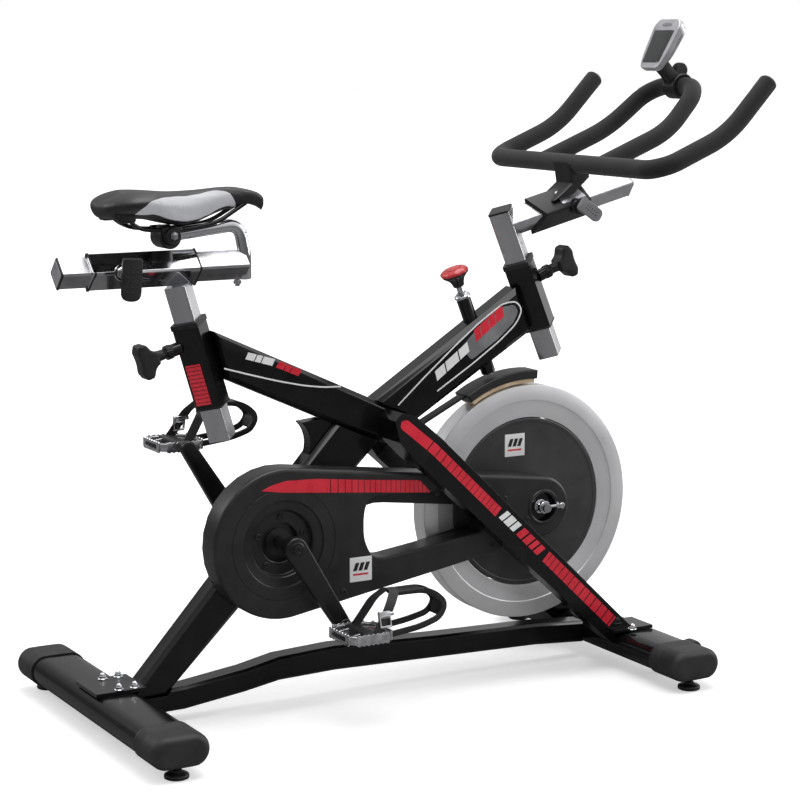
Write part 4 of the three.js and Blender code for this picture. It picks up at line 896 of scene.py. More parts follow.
for side in sides:
    piece("crank_%s_forging" % side, crankShapes(side), "crank", "crankPaint", ["crank_" + side])
    cage, core, accent = pedalShapes(side)
    body = "pedal_" + side
    piece("pedal_%s_cage" % side, cage, body, "pedalSilver", ["pedal_" + side])
    piece("pedal_%s_core" % side, core, body, "plastic", ["pedal_" + side])
    piece("pedal_%s_accent" % side, accent, body, "redKnob", ["pedal_" + side])
    piece("toe_clip_%s_rails" % side, clipShapes(side), body, "plastic", ["toe_clip_" + side])
    strap, buckle = strapShapes(side)
    piece("toe_strap_" + side, strap, body, "strap", ["toe_clip_" + side])
    piece("toe_buckle_" + side, buckle, body, "chrome", ["toe_clip_" + side])

# posts, slider and carriage

print("posts and sliders")
for node, slot in [("seat_post", "satin_steel"), ("handlebar_post", "satin_steel"), ("seat_slider", "satin_steel")]:
    refined(node, "postSteel", 0.0009)
refined("seat_carriage", "chrome", 0.0007)


def collar(name, middle, along, start, end, outer, inner, body, notch=0.0):
    piece(name, [sleeve(middle + along * start, middle + along * end, outer, inner, 0.0035, notch)], body,
          "plastic")


collar("seat_sleeve_collar", seatMiddle, seatUp, 0.0700, 0.0790, 0.0496, 0.0388, "root")
collar("seat_sleeve_foot", seatMiddle, seatUp, -0.0745, -0.0715, 0.0484, 0.0388, "root")
collar("head_sleeve_collar", headMiddle, headUp, 0.0595, 0.0685, 0.0496, 0.0388, "root")
collar("head_sleeve_foot", headMiddle, headUp, -0.0640, -0.0610, 0.0484, 0.0388, "root")
carriageLow, carriageHigh = corners("seat_carriage")
sliderLow, sliderHigh = corners("seat_slider")
sliderMiddle = np.array([0, 0, sliderZ])
collar("carriage_rear_liner", sliderMiddle, forward, carriageLow[0] - 0.0012, carriageLow[0] + 0.004, 0.0462,
       0.0388, "seat_post", notch=0.010)
collar("carriage_front_liner", sliderMiddle, forward, carriageHigh[0] - 0.0030, carriageHigh[0] + 0.0012, 0.0458,
       0.0388, "seat_post")


def diamondPlug(centre, along, side, depth):
    # a square plug on edge, its rim rounded by a smaller section at each end
    start = centre - along * depth / 2
    path = [start, start + along * 0.0008, start + along * (depth - 0.0008), start + along * depth]
    return sweep(path, onEdge(side, 0.0035), across, [0.955, 1, 1, 0.955])


plugAt = sliderMiddle + forward * (sliderLow[0] - 0.0008)
piece("slider_plug", [diamondPlug(plugAt, forward, 0.0392, 0.0036)], "seat_slider", "plastic")
piece("slider_plug_face", [diamondPlug(plugAt - forward * 0.0019, forward, 0.0325, 0.0014)], "seat_slider",
      "silverPlastic")
postTop = headMiddle + headUp * 0.165
piece("head_post_cap", [diamondPlug(postTop + headUp * 0.0010, headUp, 0.0388, 0.0044)], "handlebar_post",
      "plastic")
armTip = armMiddle + armAlong * 0.268
piece("arm_plug", [diamondPlug(armTip + armAlong * 0.0008, armAlong, 0.0386, 0.0030)], "handlebar_post",
      "silverPlastic")
faceNormal = unit(-across - np.cross(headUp, across))
holeAt = headMiddle + headUp * 0.098 + faceNormal * 0.0190
piece("head_post_screw", [socketScrew(holeAt, faceNormal, 0.0030, 0.0008)], "handlebar_post",
      "screwSteel")

leverAt = spot("seat_lever_turn")
nuts = [hexNut([leverAt[0], -0.0275, sliderZ], -across, 0.0112, 0.0065),
        ring([[0.0056, 0], [0.0130, 0], [0.0142, 0.0016], [0.0136, 0.0036], [0.0056, 0.0044]],
             [leverAt[0], -0.0262, sliderZ], -across, 40),
        hexNut([leverAt[0] + 0.0002, -0.0340, sliderZ], -across, 0.0090, 0.0050),
        rod(0.0049, [leverAt[0], -0.026, sliderZ], [leverAt[0], -0.058, sliderZ], 0.0008)]
piece("seat_stud_nuts", nuts, "seat_post", "chrome")


def leverShapes(centre, lean, width, length, hub, columns, rows, drop):
    # a flat handle with rounded lower corners, rows of small beads on its face and a hub behind it
    line = np.array([[-width / 2, -length * drop], [width / 2, -length * drop], [width / 2, length * (1 - drop)],
                     [-width / 2, length * (1 - drop)]])
    round_ = np.array([0.46, 0.46, 0.14, 0.14]) * width
    handle = plate(rounded(line, round_, 7), [], -hub - 0.0085, -hub, 0.0022, 3)
    c, s = math.cos(math.radians(lean)), math.sin(math.radians(lean))
    along, up = np.array([c, 0, -s]), np.array([s, 0, c])
    handle = laid(handle, centre, along, up)
    hubPart = ring([[0.0052, -0.001], [0.0085, -0.001], [0.0098, -0.003], [0.0098, -hub + 0.003], [0.0125, -hub],
                    [0.0125, -hub - 0.002], [0.0052, -hub - 0.002]], centre, across, 32)
    beads = []
    for column in range(columns):
        for row in range(rows):
            across_ = (column - (columns - 1) / 2) * width * 0.25
            height = length * (0.5 - drop) + (row - (rows - 1) / 2) * length * 0.115
            beads.append(dome(centre + along * across_ + up * height - across * (hub + 0.0083), -across, 0.0012,
                              0.0009, 10))
    return [handle, hubPart], beads


handle, beads = leverShapes(leverAt, 4, 0.034, 0.070, 0.020, 3, 6, 0.62)
piece("seat_lever_handle", handle, "seat_lever", "plastic", ["seat_lever"])
piece("seat_lever_beads", beads, "seat_lever", "rubber", ["seat_lever"])

# seat bar, clamp and rails

print("saddle")
clampX = spot("saddle_tilt")[0]
clampZ = spot("saddle_tilt")[2] - 0.0015
saddleTop = clampZ + 0.075
barFront = sliderHigh[0]
barLine = [(barFront + 0.002, 0, sliderZ - 0.026), (barFront + 0.0015, 0, sliderZ + 0.02),
           (barFront - 0.008, 0, clampZ + 0.016), (clampX - 0.014, 0, clampZ)]
barPath, barScale = roundEnds(rounded(barLine, [0, 0.01, 0.034, 0], 14, closed=False), 0.011, 0.25)
piece("seat_bar_bent", [sweep(barPath, circle(0.011, 36), across, barScale)], "seat_slider", "chrome",
      ["seat_bar"])
piece("seat_bar_bolt", [hexNut([barFront - 0.012, 0, sliderZ - 0.0262], -upward, 0.0075, 0.006),
                        rod(0.0042, [barFront - 0.012, 0, sliderZ - 0.020], [barFront - 0.012, 0, sliderZ - 0.036])],
      "seat_slider", "screwSteel")
clampParts = [ring([[0.0122, -0.022], [0.0165, -0.023], [0.019, -0.020], [0.019, 0.020], [0.0165, 0.023],
                    [0.0122, 0.022]], [clampX, 0, clampZ], across, 56)]
for side in (-1, 1):
    boss = [clampX, side * 0.0215, clampZ + 0.004]
    clampParts.append(lathe([[0, 0], [0.0142, 0], [0.0150, 0.001], [0.0150, 0.0035], [0.0136, 0.0045],
                             [0.0136, 0.0100], [0.0125, 0.0116], [0, 0.0116]], boss, across * side, 36))
    clampParts.append(block((clampX - 0.0185, side * 0.0170, clampZ + 0.0085),
                            (clampX + 0.0185, side * 0.0285, clampZ + 0.0185), 0.0025, 0.005))
piece("saddle_clamp_cast", clampParts, "saddle", "plastic", ["saddle_clamp"])
nutEnds = [hexNut([clampX, side * 0.0330, clampZ + 0.004], across * side, 0.0072, 0.0045) for side in (-1, 1)]
nutEnds += [rod(0.0042, [clampX, side * 0.033, clampZ + 0.004], [clampX, side * 0.0405, clampZ + 0.004])
            for side in (-1, 1)]
piece("saddle_clamp_nuts", nutEnds, "saddle", "screwSteel")
rails = []
for side in (-1, 1):
    line = [(clampX - 0.084, side * 0.037, saddleTop - 0.031), (clampX - 0.074, side * 0.034, saddleTop - 0.048),
            (clampX - 0.053, side * 0.0250, clampZ + 0.016), (clampX - 0.028, side * 0.022, clampZ + 0.013),
            (clampX + 0.032, side * 0.022, clampZ + 0.013), (clampX + 0.087, side * 0.016, clampZ + 0.0215),
            (clampX + 0.140, side * 0.012, saddleTop - 0.0235)]
    rails.append(sweep(rounded(line, 0.018, 8, closed=False), circle(0.0036, 20), across))
piece("saddle_rails", rails, "saddle", "paint", ["saddle_clamp"])
mounts = [block((clampX - 0.100, side * 0.046, saddleTop - 0.047), (clampX - 0.070, side * 0.026, saddleTop - 0.030),
                0.003, 0.006) for side in (-1, 1)]
mounts.append(block((clampX - 0.108, -0.046, saddleTop - 0.040), (clampX - 0.096, 0.046, saddleTop - 0.030), 0.003,
                    0.005))
piece("saddle_rail_mounts", mounts, "saddle", "plastic", ["saddle_clamp"])

# saddle cushion

saddleSizes = dict(length=0.297, halfWidth=0.080, depth=0.043)


def saddleGrid():
    # along its length the width swells over the tail and runs out to the nose; each section is a squared
    # oval whose top is crowned and whose skirt hangs lowest halfway along
    size = saddleSizes
    rear = corners("saddle")[0][0]
    s = 0.5 - 0.5 * np.cos(np.linspace(0.02, np.pi - 0.02, 72))
    stations = [0, 0.02, 0.06, 0.12, 0.20, 0.28, 0.36, 0.46, 0.56, 0.68, 0.82, 0.92, 0.97, 1.0]
    width = np.interp(s, stations,
                      [0.40, 0.60, 0.83, 0.98, 1.0, 0.94, 0.80, 0.61, 0.46, 0.35, 0.29, 0.265, 0.235, 0.15])
    top = np.interp(s, [0, 0.04, 0.12, 0.25, 0.42, 0.60, 0.76, 0.90, 0.97, 1.0],
                    [-0.014, -0.007, -0.001, -0.001, -0.0045, -0.0035, 0, -0.001, -0.006, -0.014])
    skirt = np.interp(s, [0, 0.05, 0.14, 0.25, 0.36, 0.47, 0.56, 0.66, 0.76, 0.90, 1.0],
                      [0.024, 0.034, 0.037, 0.038, 0.044, 0.049, 0.047, 0.037, 0.029, 0.026, 0.024])
    kernel = np.hanning(9) / np.hanning(9).sum()
    soft = lambda values: np.convolve(np.pad(values, 4, mode="edge"), kernel, mode="valid")
    width, top, skirt = soft(width) * size["halfWidth"], soft(top), soft(skirt)
    angle = np.linspace(0, 2 * np.pi, 56, endpoint=False)
    c, si = np.cos(angle), np.sin(angle)
    flatten = 0.62
    y = width[:, None] * np.sign(c) * np.abs(c) ** flatten
    low = saddleTop + top - np.maximum(skirt, 0.018)
    high = saddleTop + top
    middle = (low + high)[:, None] / 2 + 0.004
    lift = np.where(si > 0, (high[:, None] - middle) * np.abs(si) ** 0.75, (low[:, None] - middle) * np.abs(si) ** 0.9)
    hollow = 0.0045 * np.exp(-((s - 0.28) / 0.2) ** 2)[:, None] * np.exp(-(y / 0.016) ** 2) * (si > 0)
    tuck = 1 - 0.30 * np.clip(-si, 0, 1)[None]
    x = rear + size["length"] * s[:, None] + 0 * y
    points = np.stack([x, y * tuck, middle + lift - hollow], 2)
    count = len(angle)
    faces = gridFaces(len(s), count)
    faces += [list(range(count))[::-1], list(range((len(s) - 1) * count, len(s) * count))]
    return points.reshape(-1, 3), faces


def saddleFinish():
    # black grained vinyl with a silver side panel whose upper line sweeps from tail to nose
    look = dict(rough=0.42, spread=0.06, grain=1900, bump=0.12, depth=0.0003)
    material, tree, shader, place, mapping = startFinish("saddleVinyl", look)
    drift, bump = surface(tree, shader, mapping.outputs["Vector"], look)
    rear = corners("saddle")[0][0]
    split = tree.nodes.new("ShaderNodeSeparateXYZ")
    tree.links.new(place.outputs["Object"], split.inputs["Vector"])
    length = saddleSizes["length"]
    share = maths(tree, "MULTIPLY_ADD", split.outputs["X"], 1 / length, -rear / length)
    stops = [(0.13, 0.0), (0.155, 0.40), (0.20, 0.72), (0.28, 0.86), (0.40, 0.87), (0.50, 0.86), (0.60, 0.93),
             (0.70, 1.0), (0.77, 0.86), (0.81, 0.45), (0.84, 0.0)]
    line = ramp(tree, share, [(at, (level, level, level)) for at, level in stops])
    line.node.color_ramp.interpolation = "CARDINAL"
    depth = saddleSizes["depth"]
    height = maths(tree, "MULTIPLY_ADD", split.outputs["Z"], 1 / depth, 1 - saddleTop / depth)
    gap = maths(tree, "SUBTRACT", line, height)
    # the panel also keeps off the crown: it starts at a share of the width that runs out to the nose
    inner = ramp(tree, share, [(at, (level, level, level)) for at, level in
                               [(0.12, 0.66), (0.3, 0.60), (0.5, 0.33), (0.65, 0.17), (0.85, 0.10)]])
    aside = maths(tree, "ABSOLUTE", maths(tree, "MULTIPLY", split.outputs["Y"], 1 / saddleSizes["halfWidth"]))
    gap = maths(tree, "MINIMUM", gap, maths(tree, "MULTIPLY", maths(tree, "SUBTRACT", aside, inner), 1.6))
    panel = maths(tree, "GREATER_THAN", gap, 0.0)
    seam = maths(tree, "LESS_THAN", maths(tree, "ABSOLUTE", gap), 0.022)
    cells = tree.nodes.new("ShaderNodeTexVoronoi")
    cells.inputs["Scale"].default_value = 620
    cells.inputs["Randomness"].default_value = 0.15
    tree.links.new(mapping.outputs["Vector"], cells.inputs["Vector"])
    fade = ramp(tree, share, [(0.2, (0.42, 0.42, 0.42)), (0.55, (0.14, 0.14, 0.14)), (0.8, (0.05, 0.05, 0.05))])
    dots = maths(tree, "MULTIPLY", ramp(tree, cells.outputs["Distance"], [(0.18, (1, 1, 1)), (0.34, (0, 0, 0))]), fade)
    silver = mixed(tree, dots, mixed(tree, drift, (0.50, 0.505, 0.525), (0.62, 0.625, 0.645)), (0.06, 0.06, 0.07))
    black = mixed(tree, drift, (0.010, 0.010, 0.011), (0.022, 0.022, 0.024))
    colour = mixed(tree, panel, black, silver)
    colour = mixed(tree, seam, colour, (0.006, 0.006, 0.007))
    tree.links.new(colour, shader.inputs["Base Color"])
    groove = tree.nodes.new("ShaderNodeBump")
    groove.invert = True
    groove.inputs["Strength"].default_value = 0.5
    groove.inputs["Distance"].default_value = 0.0006
    tree.links.new(seam, groove.inputs["Height"])
    tree.links.new(bump.outputs["Normal"], groove.inputs["Normal"])
    tree.links.new(groove.outputs["Normal"], shader.inputs["Normal"])
    return material


def inflated(made, cap):
    # the cushion is remeshed and blown up as cloth, no point moving further than the cap
    scene = bpy.context.scene
    remesh = made.modifiers.new("even", "REMESH")
    remesh.mode = "VOXEL"
    remesh.voxel_size = 0.0045
    bpy.context.view_layer.update()
    evenMesh = bpy.data.meshes.new_from_object(made.evaluated_get(bpy.context.evaluated_depsgraph_get()))
    made.modifiers.clear()
    material = made.data.materials[0]
    made.data = evenMesh
    made.data.materials.clear()
    made.data.materials.append(material)
    before = np.zeros(len(evenMesh.vertices) * 3)
    evenMesh.vertices.foreach_get("co", before)
    cloth = made.modifiers.new("inflate", "CLOTH")
    cloth.settings.quality = 5
    cloth.settings.mass = 0.2
    cloth.settings.tension_stiffness = 18
    cloth.settings.compression_stiffness = 18
    cloth.settings.bending_stiffness = 2
    cloth.settings.use_pressure = True
    cloth.settings.uniform_pressure_force = 4
    cloth.settings.effector_weights.gravity = 0
    for number in range(1, 21):
        scene.frame_set(number)
    result = made.evaluated_get(bpy.context.evaluated_depsgraph_get()).to_mesh()
    after = np.zeros(len(result.vertices) * 3)
    result.vertices.foreach_get("co", after)
    made.modifiers.clear()
    scene.frame_set(1)
    move = (after - before).reshape(-1, 3)
    reach = np.linalg.norm(move, axis=1, keepdims=True)
    move *= np.minimum(1, cap / np.maximum(reach, 1e-9))
    evenMesh.vertices.foreach_set("co", (before.reshape(-1, 3) + move).ravel())
    evenMesh.update()
    evenMesh.polygons.foreach_set("use_smooth", np.ones(len(evenMesh.polygons), bool))
    smooth = made.modifiers.new("finish", "SUBSURF")
    smooth.levels = smooth.render_levels = 1


finishes["saddleVinyl"] = saddleFinish()
cushion = piece("saddle_cushion", [saddleGrid()], "saddle", "saddleVinyl", ["saddle"], sharp=180)
inflated(cushion, 0.004)

# handlebar

print("handlebar and console")
barRoot = armMiddle + [0.1438, 0, 0.1055]
gripSizes = dict(radius=0.0168, halfWidth=0.268, loopHalf=0.094)


def barAt(points):
    return np.asarray(points, float) / 1000 + barRoot


gripSide = gripSizes["halfWidth"] * 1000
cornerSide = gripSide - 22
outerLine = barAt([(233, -gripSide, 153), (142, -gripSide, 58), (22, -gripSide, 9), (-6, -cornerSide, 0),
                   (-6, cornerSide, 0), (22, gripSide, 9), (142, gripSide, 58), (233, gripSide, 153)])
outerPath, outerScale = roundEnds(rounded(outerLine, [0, 0.045, 0.040, 0.040, 0.040, 0.040, 0.045, 0], 12,
                                          closed=False), gripSizes["radius"], 0.6)
piece("handlebar_outer_grip", [sweep(outerPath, circle(gripSizes["radius"], 40), upward, outerScale)], "handlebar",
      "foam", ["handlebar_outer"], sharp=60)
loopSide = gripSizes["loopHalf"] * 1000
innerLine = barAt([(-4, -loopSide, 0), (141, -loopSide, 58), (208, -loopSide + 18, 119), (231, -46, 136),
                   (231, 46, 136), (208, loopSide - 18, 119), (141, loopSide, 58), (-4, loopSide, 0)])
innerPath = rounded(innerLine, [0, 0.040, 0.038, 0.024, 0.024, 0.038, 0.040, 0], 12, closed=False)
piece("handlebar_inner_grip", [sweep(innerPath, circle(0.0163, 40), upward)], "handlebar", "foam",
      ["handlebar_inner"], sharp=60)
refined("handlebar_stem", "plastic", 0.0035, 3)


def armAt(along, up=0.0, y=0.0):
    return armMiddle + armAlong * along + armUp * up + across * y


armLeverAt = spot("handlebar_lever_turn")
clampShapes = [sleeve(armAt(0.050), armAt(0.168), 0.0492, 0.0392, 0.004, notch=0.030)]
clampShapes.append(rod(0.0145, [armLeverAt[0], -0.022, armLeverAt[2]], [armLeverAt[0], -0.0405, armLeverAt[2]],
                       0.0016, 40))
clampShapes.append(rod(0.0050, [armLeverAt[0], -0.038, armLeverAt[2]], [armLeverAt[0], -0.0600, armLeverAt[2]]))
piece("handlebar_clamp_sleeve", clampShapes, "handlebar", "plastic", ["handlebar_clamp"])
slope = unit(armUp - across)
faceShape = plate(rounded([[-0.022, -0.015], [0.030, -0.015], [0.022, 0.016], [-0.022, 0.016]],
                          [0.004, 0.003, 0.004, 0.004]), [], -0.0010, 0.0022, 0.0008)
facePlate = laid(faceShape, armAt(0.132) + slope * 0.0245, armAlong, -np.cross(armAlong, slope))
piece("handlebar_clamp_plate", [facePlate], "handlebar", "silverPlastic")
handle, beads = leverShapes(armLeverAt, -55, 0.025, 0.052, 0.016, 2, 5, 0.66)
piece("handlebar_lever_handle", handle, "handlebar_lever", "leverGrey", ["handlebar_lever"])
piece("handlebar_lever_beads", beads, "handlebar_lever", "plastic", ["handlebar_lever"])

# console

apex = barRoot + [0.231, 0, 0.136]
consoleLean = math.radians(28)
consoleFace = np.array([-math.cos(consoleLean), 0, math.sin(consoleLean)])
consoleUp = np.array([math.sin(consoleLean), 0, math.cos(consoleLean)])
consoleAt = apex + [-0.059, 0, 0.039] + consoleFace * 0.006     # lower edge of the face
faceLine = [[-0.028, -0.010], [0.028, -0.010], [0.0355, 0.018], [0.0400, 0.078], [0.030, 0.092], [-0.030, 0.092],
            [-0.0400, 0.078], [-0.0355, 0.018]]
faceRound = [0.012, 0.012, 0.02, 0.014, 0.014, 0.014, 0.014, 0.02]


def onConsole(shape):
    return laid(shape, consoleAt, across, consoleUp)


rearLine = np.array([[-0.020, 0.010], [0.020, 0.010], [0.028, 0.030], [0.0340, 0.074], [0.026, 0.088],
                     [-0.026, 0.088], [-0.0340, 0.074], [-0.028, 0.030]])
housing = [onConsole(plate(rounded(faceLine, faceRound, 6), [], -0.0125, 0, 0.0030, 4)),
           onConsole(plate(rounded(rearLine, np.array(faceRound) * 0.9, 6), [], -0.0238, -0.008, 0.0045, 4))]
piece("console_housing_shell", housing, "console", "silverPlastic", ["console_housing"])
screenLine = [[-0.0250, 0.002], [0.0250, 0.002], [0.0300, 0.068], [-0.0300, 0.068]]
piece("console_screen", [onConsole(plate(rounded(screenLine, 0.003), [], -0.002, 0.0007, 0.0003))], "console",
      "screen", ["console_housing"])
badge = np.array([[0.0150, 0.0040]]) * circle(1, 40) + [0, 0.0795]
piece("console_badge", [onConsole(plate(badge, [], -0.002, 0.0005, 0.0003))], "console",
      "leverGrey", ["console_housing"])
neckRun = unit([-0.049, 0, 0.049])
neckSide = np.cross(neckRun, across)
ringParts = [ring([[0.0172, -0.017], [0.0215, -0.0185], [0.0236, -0.016], [0.0236, 0.016], [0.0215, 0.0185],
                   [0.0172, 0.017]], apex, across, 56)]
neckPath = [apex + neckRun * along for along in (0.019, 0.026, 0.038, 0.050, 0.056)]
ringParts.append(sweep(neckPath, flatBar(0.026, 0.022, 0.25), across, [1.12, 1.0, 0.92, 0.95, 0.85]))
piece("console_clamp_moulding", ringParts, "console", "plastic", ["console_clamp"])


def fluted(profile, centre, axis, count, depth, turns=120):
    # a turned shape whose radius sinks between equal ridges; depth is given for each line of the profile
    points, faces = lathe(profile, centre, axis, turns)
    grid = points.reshape(len(profile), turns, 3)
    z = unit(axis)
    away = grid - np.asarray(centre)
    radial = away - (away @ z)[..., None] * z
    angle = np.linspace(0, 2 * np.pi, turns, endpoint=False)
    sink = np.asarray(depth)[:, None] * (0.5 - 0.5 * np.cos(count * angle))[None]
    length = np.maximum(np.linalg.norm(radial, axis=2), 1e-9)
    grid = grid - radial / length[..., None] * np.minimum(sink, length * 0.9)[..., None]
    return grid.reshape(-1, 3), faces


knobPlace = apex + neckRun * 0.020 - neckSide * 0.021
piece("console_knob", [fluted([[0, 0], [0.012, 0], [0.0142, 0.001], [0.0142, 0.013], [0.0125, 0.0145], [0, 0.0145]],
                              knobPlace + across * 0.004, -across, 22, [0, 0, 0.0013, 0.0013, 0, 0])], "console",
      "plastic", ["console_clamp"])

# locking knobs

print("knobs and brake")
for name, joint, outwards, upwards in [("seat", "seat_knob_turn", -seatForward, seatUp),
                                       ("head", "head_knob_turn", headForward, headUp)]:
    start = spot(joint) - outwards * 0.0027
    if name == "seat":
        outwards = unit(start - seatMiddle - seatUp * np.dot(start - seatMiddle, seatUp))
    profile = [[0.0052, 0], [0.0078, 0], [0.0090, 0.002], [0.0092, 0.008], [0.0105, 0.016], [0.0125, 0.024],
               [0.0140, 0.034], [0.0052, 0.036]]
    neck = ring(profile, start, outwards, 40)
    wingLine = rounded([[0.014, -0.0098], [0.024, -0.0150], [0.031, -0.0290], [0.044, -0.0300], [0.0495, -0.0180],
                        [0.0470, 0.0], [0.0495, 0.0180], [0.044, 0.0300], [0.031, 0.0290], [0.024, 0.0150],
                        [0.014, 0.0098]], [0.002, 0.008, 0.004, 0.004, 0.003, 0.02, 0.003, 0.004, 0.004, 0.008,
                                           0.002], 5)
    wing = laid(plate(wingLine, [], -0.0155, 0.0155, 0.0038, 4), start, outwards, upwards)
    piece(name + "_knob_moulding", [neck, wing], name + "_knob", "plastic", [name + "_knob"])
    middle = spot(joint) - outwards * knobReach
    ridges = np.linspace(0.0285, 0.076, 64)
    thread = np.stack([0.0046 + 0.0004 * (np.arange(64) % 2), ridges], 1)
    piece(name + "_pin_thread", [lathe(np.concatenate([[[0, 0.0285]], thread, [[0, 0.076]]]), middle, outwards, 28)],
          name + "_pin", "chrome", [name + "_pin"], sharp=60)
    piece(name + "_boss_ring", [fluted([[0.0058, 0], [0.0118, 0], [0.0124, 0.001], [0.0124, 0.010], [0.0118, 0.011],
                                        [0.0058, 0.011]], middle + outwards * 0.0440, outwards, 20,
                                       [0, 0, 0.0008, 0.0008, 0, 0])], "root", "paint")

# brake

brakeUp = -brakeDown
skirt = [[0, 0.0215], [0.0085, 0.0215], [0.0100, 0.0230], [0.0115, 0.0290], [0.0150, 0.0360], [0.0215, 0.0420],
         [0.0246, 0.0445], [0.0250, 0.0470], [0.0230, 0.0480], [0, 0.0480]]
piece("brake_knob_skirt", [fluted(skirt, brakeTop, brakeUp, 10, [0, 0, 0, 0.0012, 0.002, 0.003, 0.002, 0.001, 0,
                                                               0])], "brake_knob", "plastic",
      ["brake_knob"])
crown = [[0, 0.0470], [0.0240, 0.0470], [0.0258, 0.0480], [0.0260, 0.0500], [0.0250, 0.0520], [0.0215, 0.0545],
         [0.0150, 0.0562], [0.0142, 0.0552], [0.0128, 0.0552], [0.0120, 0.0566], [0.0060, 0.0574], [0, 0.0576]]
piece("brake_knob_crown", [fluted(crown, brakeTop, brakeUp, 10, [0, 0.0006, 0.001, 0.0012, 0.001, 0.0004, 0, 0, 0, 0,
                                                               0, 0])], "brake_knob", "redKnob",
      ["brake_knob"])
guideRing = [[0.0066, -0.001], [0.0138, -0.001], [0.0148, 0.0004], [0.0148, 0.0040], [0.0138, 0.0052],
             [0.0100, 0.0062], [0.0090, 0.0095], [0.0066, 0.0095]]
piece("brake_guide_ring", [ring(guideRing, brakeTop, brakeUp, 48)], "root", "chrome")
refined("brake_screw", "chrome", 0.0004)
refined("brake_shoe", "plastic", 0.0016)
refined("brake_pad", "felt", 0.0012)

# generic marks: thin films on the beams, leg and guard, the same on both sides where they can be seen

print("marks")
filmDepth = 0.00035


def film(outline, y, side=-1):
    # a flat film on a face that looks along Y
    low, high = sorted([side * (y - 0.0001), side * (y + filmDepth)])
    return plate(outline, [], low, high, 0.00004, 0)


def pinline(line, width, y, side=-1, closed=False, size=0.012):
    # a narrow film that follows a line, half its width to each side
    line = rounded(drawn(line), size, 6, closed)
    line = distinct(line)
    if closed:
        line = np.concatenate([line, line[:1]])
    run = np.gradient(line, axis=0)
    run /= np.linalg.norm(run, axis=1, keepdims=True)
    normal = np.stack([-run[:, 1], run[:, 0]], 1) * width / 2
    edges = np.stack([line - normal, line + normal], 1)
    grid = np.stack([edges[..., 0], np.full(edges.shape[:2], side * y), edges[..., 1]], 2)
    return skin(grid, [0, side, 0], filmDepth)


def slantedBars(corner, along, up, widths, gap, lean):
    # a row of slanting bars, a plain mark of no meaning
    corner, along, up = (np.asarray(part, float) for part in (corner, along, up))
    bars, at = [], 0.0
    total = sum(widths) + gap * (len(widths) - 1)
    for width in widths:
        start, stop = at / total, (at + width) / total
        bars.append(np.array([corner + along * start, corner + along * stop, corner + along * (stop + lean) + up,
                              corner + along * (start + lean) + up]))
        at += width + gap
    return bars


whiteFilms, redFilms, greyFilms = [], [], []
for side in (-1, 1):
    whiteFilms.append(pinline([(-286, 600), (-239, 586), (-189, 572), (-138, 560), (-98, 554), (-66, 553)], 0.0026,
                              beamFace, side))
    for bar in slantedBars((-247, 613), (50, -15), (3, 12), [3, 2, 4], 0.35, 0.06):
        whiteFilms.append(film(drawn(bar), beamFace, side))
    for bar in slantedBars((-190, 595), (42, -18), (5, 11), [4, 3, 5], 0.4, 0.06):
        redFilms.append(film(drawn(bar), beamFace, side))
    whiteFilms.append(pinline([(47, 511), (99, 556), (162, 608), (213, 647), (262, 678), (290, 680), (302, 664),
                               (290, 640), (255, 611), (199, 574), (126, 530)], 0.0026, beamFace, side))
    greyFilms.append(film(rounded(drawn([(176, 606), (216, 643), (262, 672), (286, 674), (294, 662), (284, 642),
                                         (252, 615), (196, 580)]), 0.006), beamFace - filmDepth * 0.6, side))
    for bar in slantedBars((126, 548), (66, 48), (-8, 15), [3, 4, 3], 0.35, 0.05):
        whiteFilms.append(film(drawn(bar), beamFace, side))
    for bar in slantedBars((206, 612), (58, 42), (-8, 19), [3, 4, 3, 4], 0.35, 0.05):
        redFilms.append(film(drawn(bar), beamFace, side))
piece("beam_marks_white", whiteFilms, "root", "whiteMark")
piece("beam_marks_grey", greyFilms, "root", "greyMark")
piece("beam_marks_red", redFilms, "root", "redMark")

legOrigin, legCourse = drawn([(110, 430)])[0], np.array([0.7240, -0.6898])
legUp = np.array([0.6898, 0.7240])


def legFilm(fromU, toU, low, high, side, steps=40, roundStart=False, slant=0.0):
    # a film on the front leg: along its course, between two heights, on the face that bends in towards the top
    u = np.linspace(fromU, toU, steps)
    share = np.ones(steps)
    if roundStart:
        reach = np.clip((u - fromU) / ((high - low) / 2), 0, 1)
        share = np.maximum(np.sqrt(1 - (1 - reach) ** 2), 0.02)
    middle, half = (low + high) / 2, (high - low) / 2 * share
    rows = []
    for sign in (-1, 1):
        shifted = u + sign * slant
        flat = legOrigin + shifted[:, None] / 1000 * legCourse + (middle + sign * half)[:, None] / 1000 * legUp
        y = np.interp(shifted, [-150, -120, -40, 0], [66, 84, 114, 114]) / 1000 + 0.00012
        rows.append(np.column_stack([flat[:, 0], side * y, flat[:, 1]]))
    return skin(np.stack(rows, 1), [0, side, 0], filmDepth)


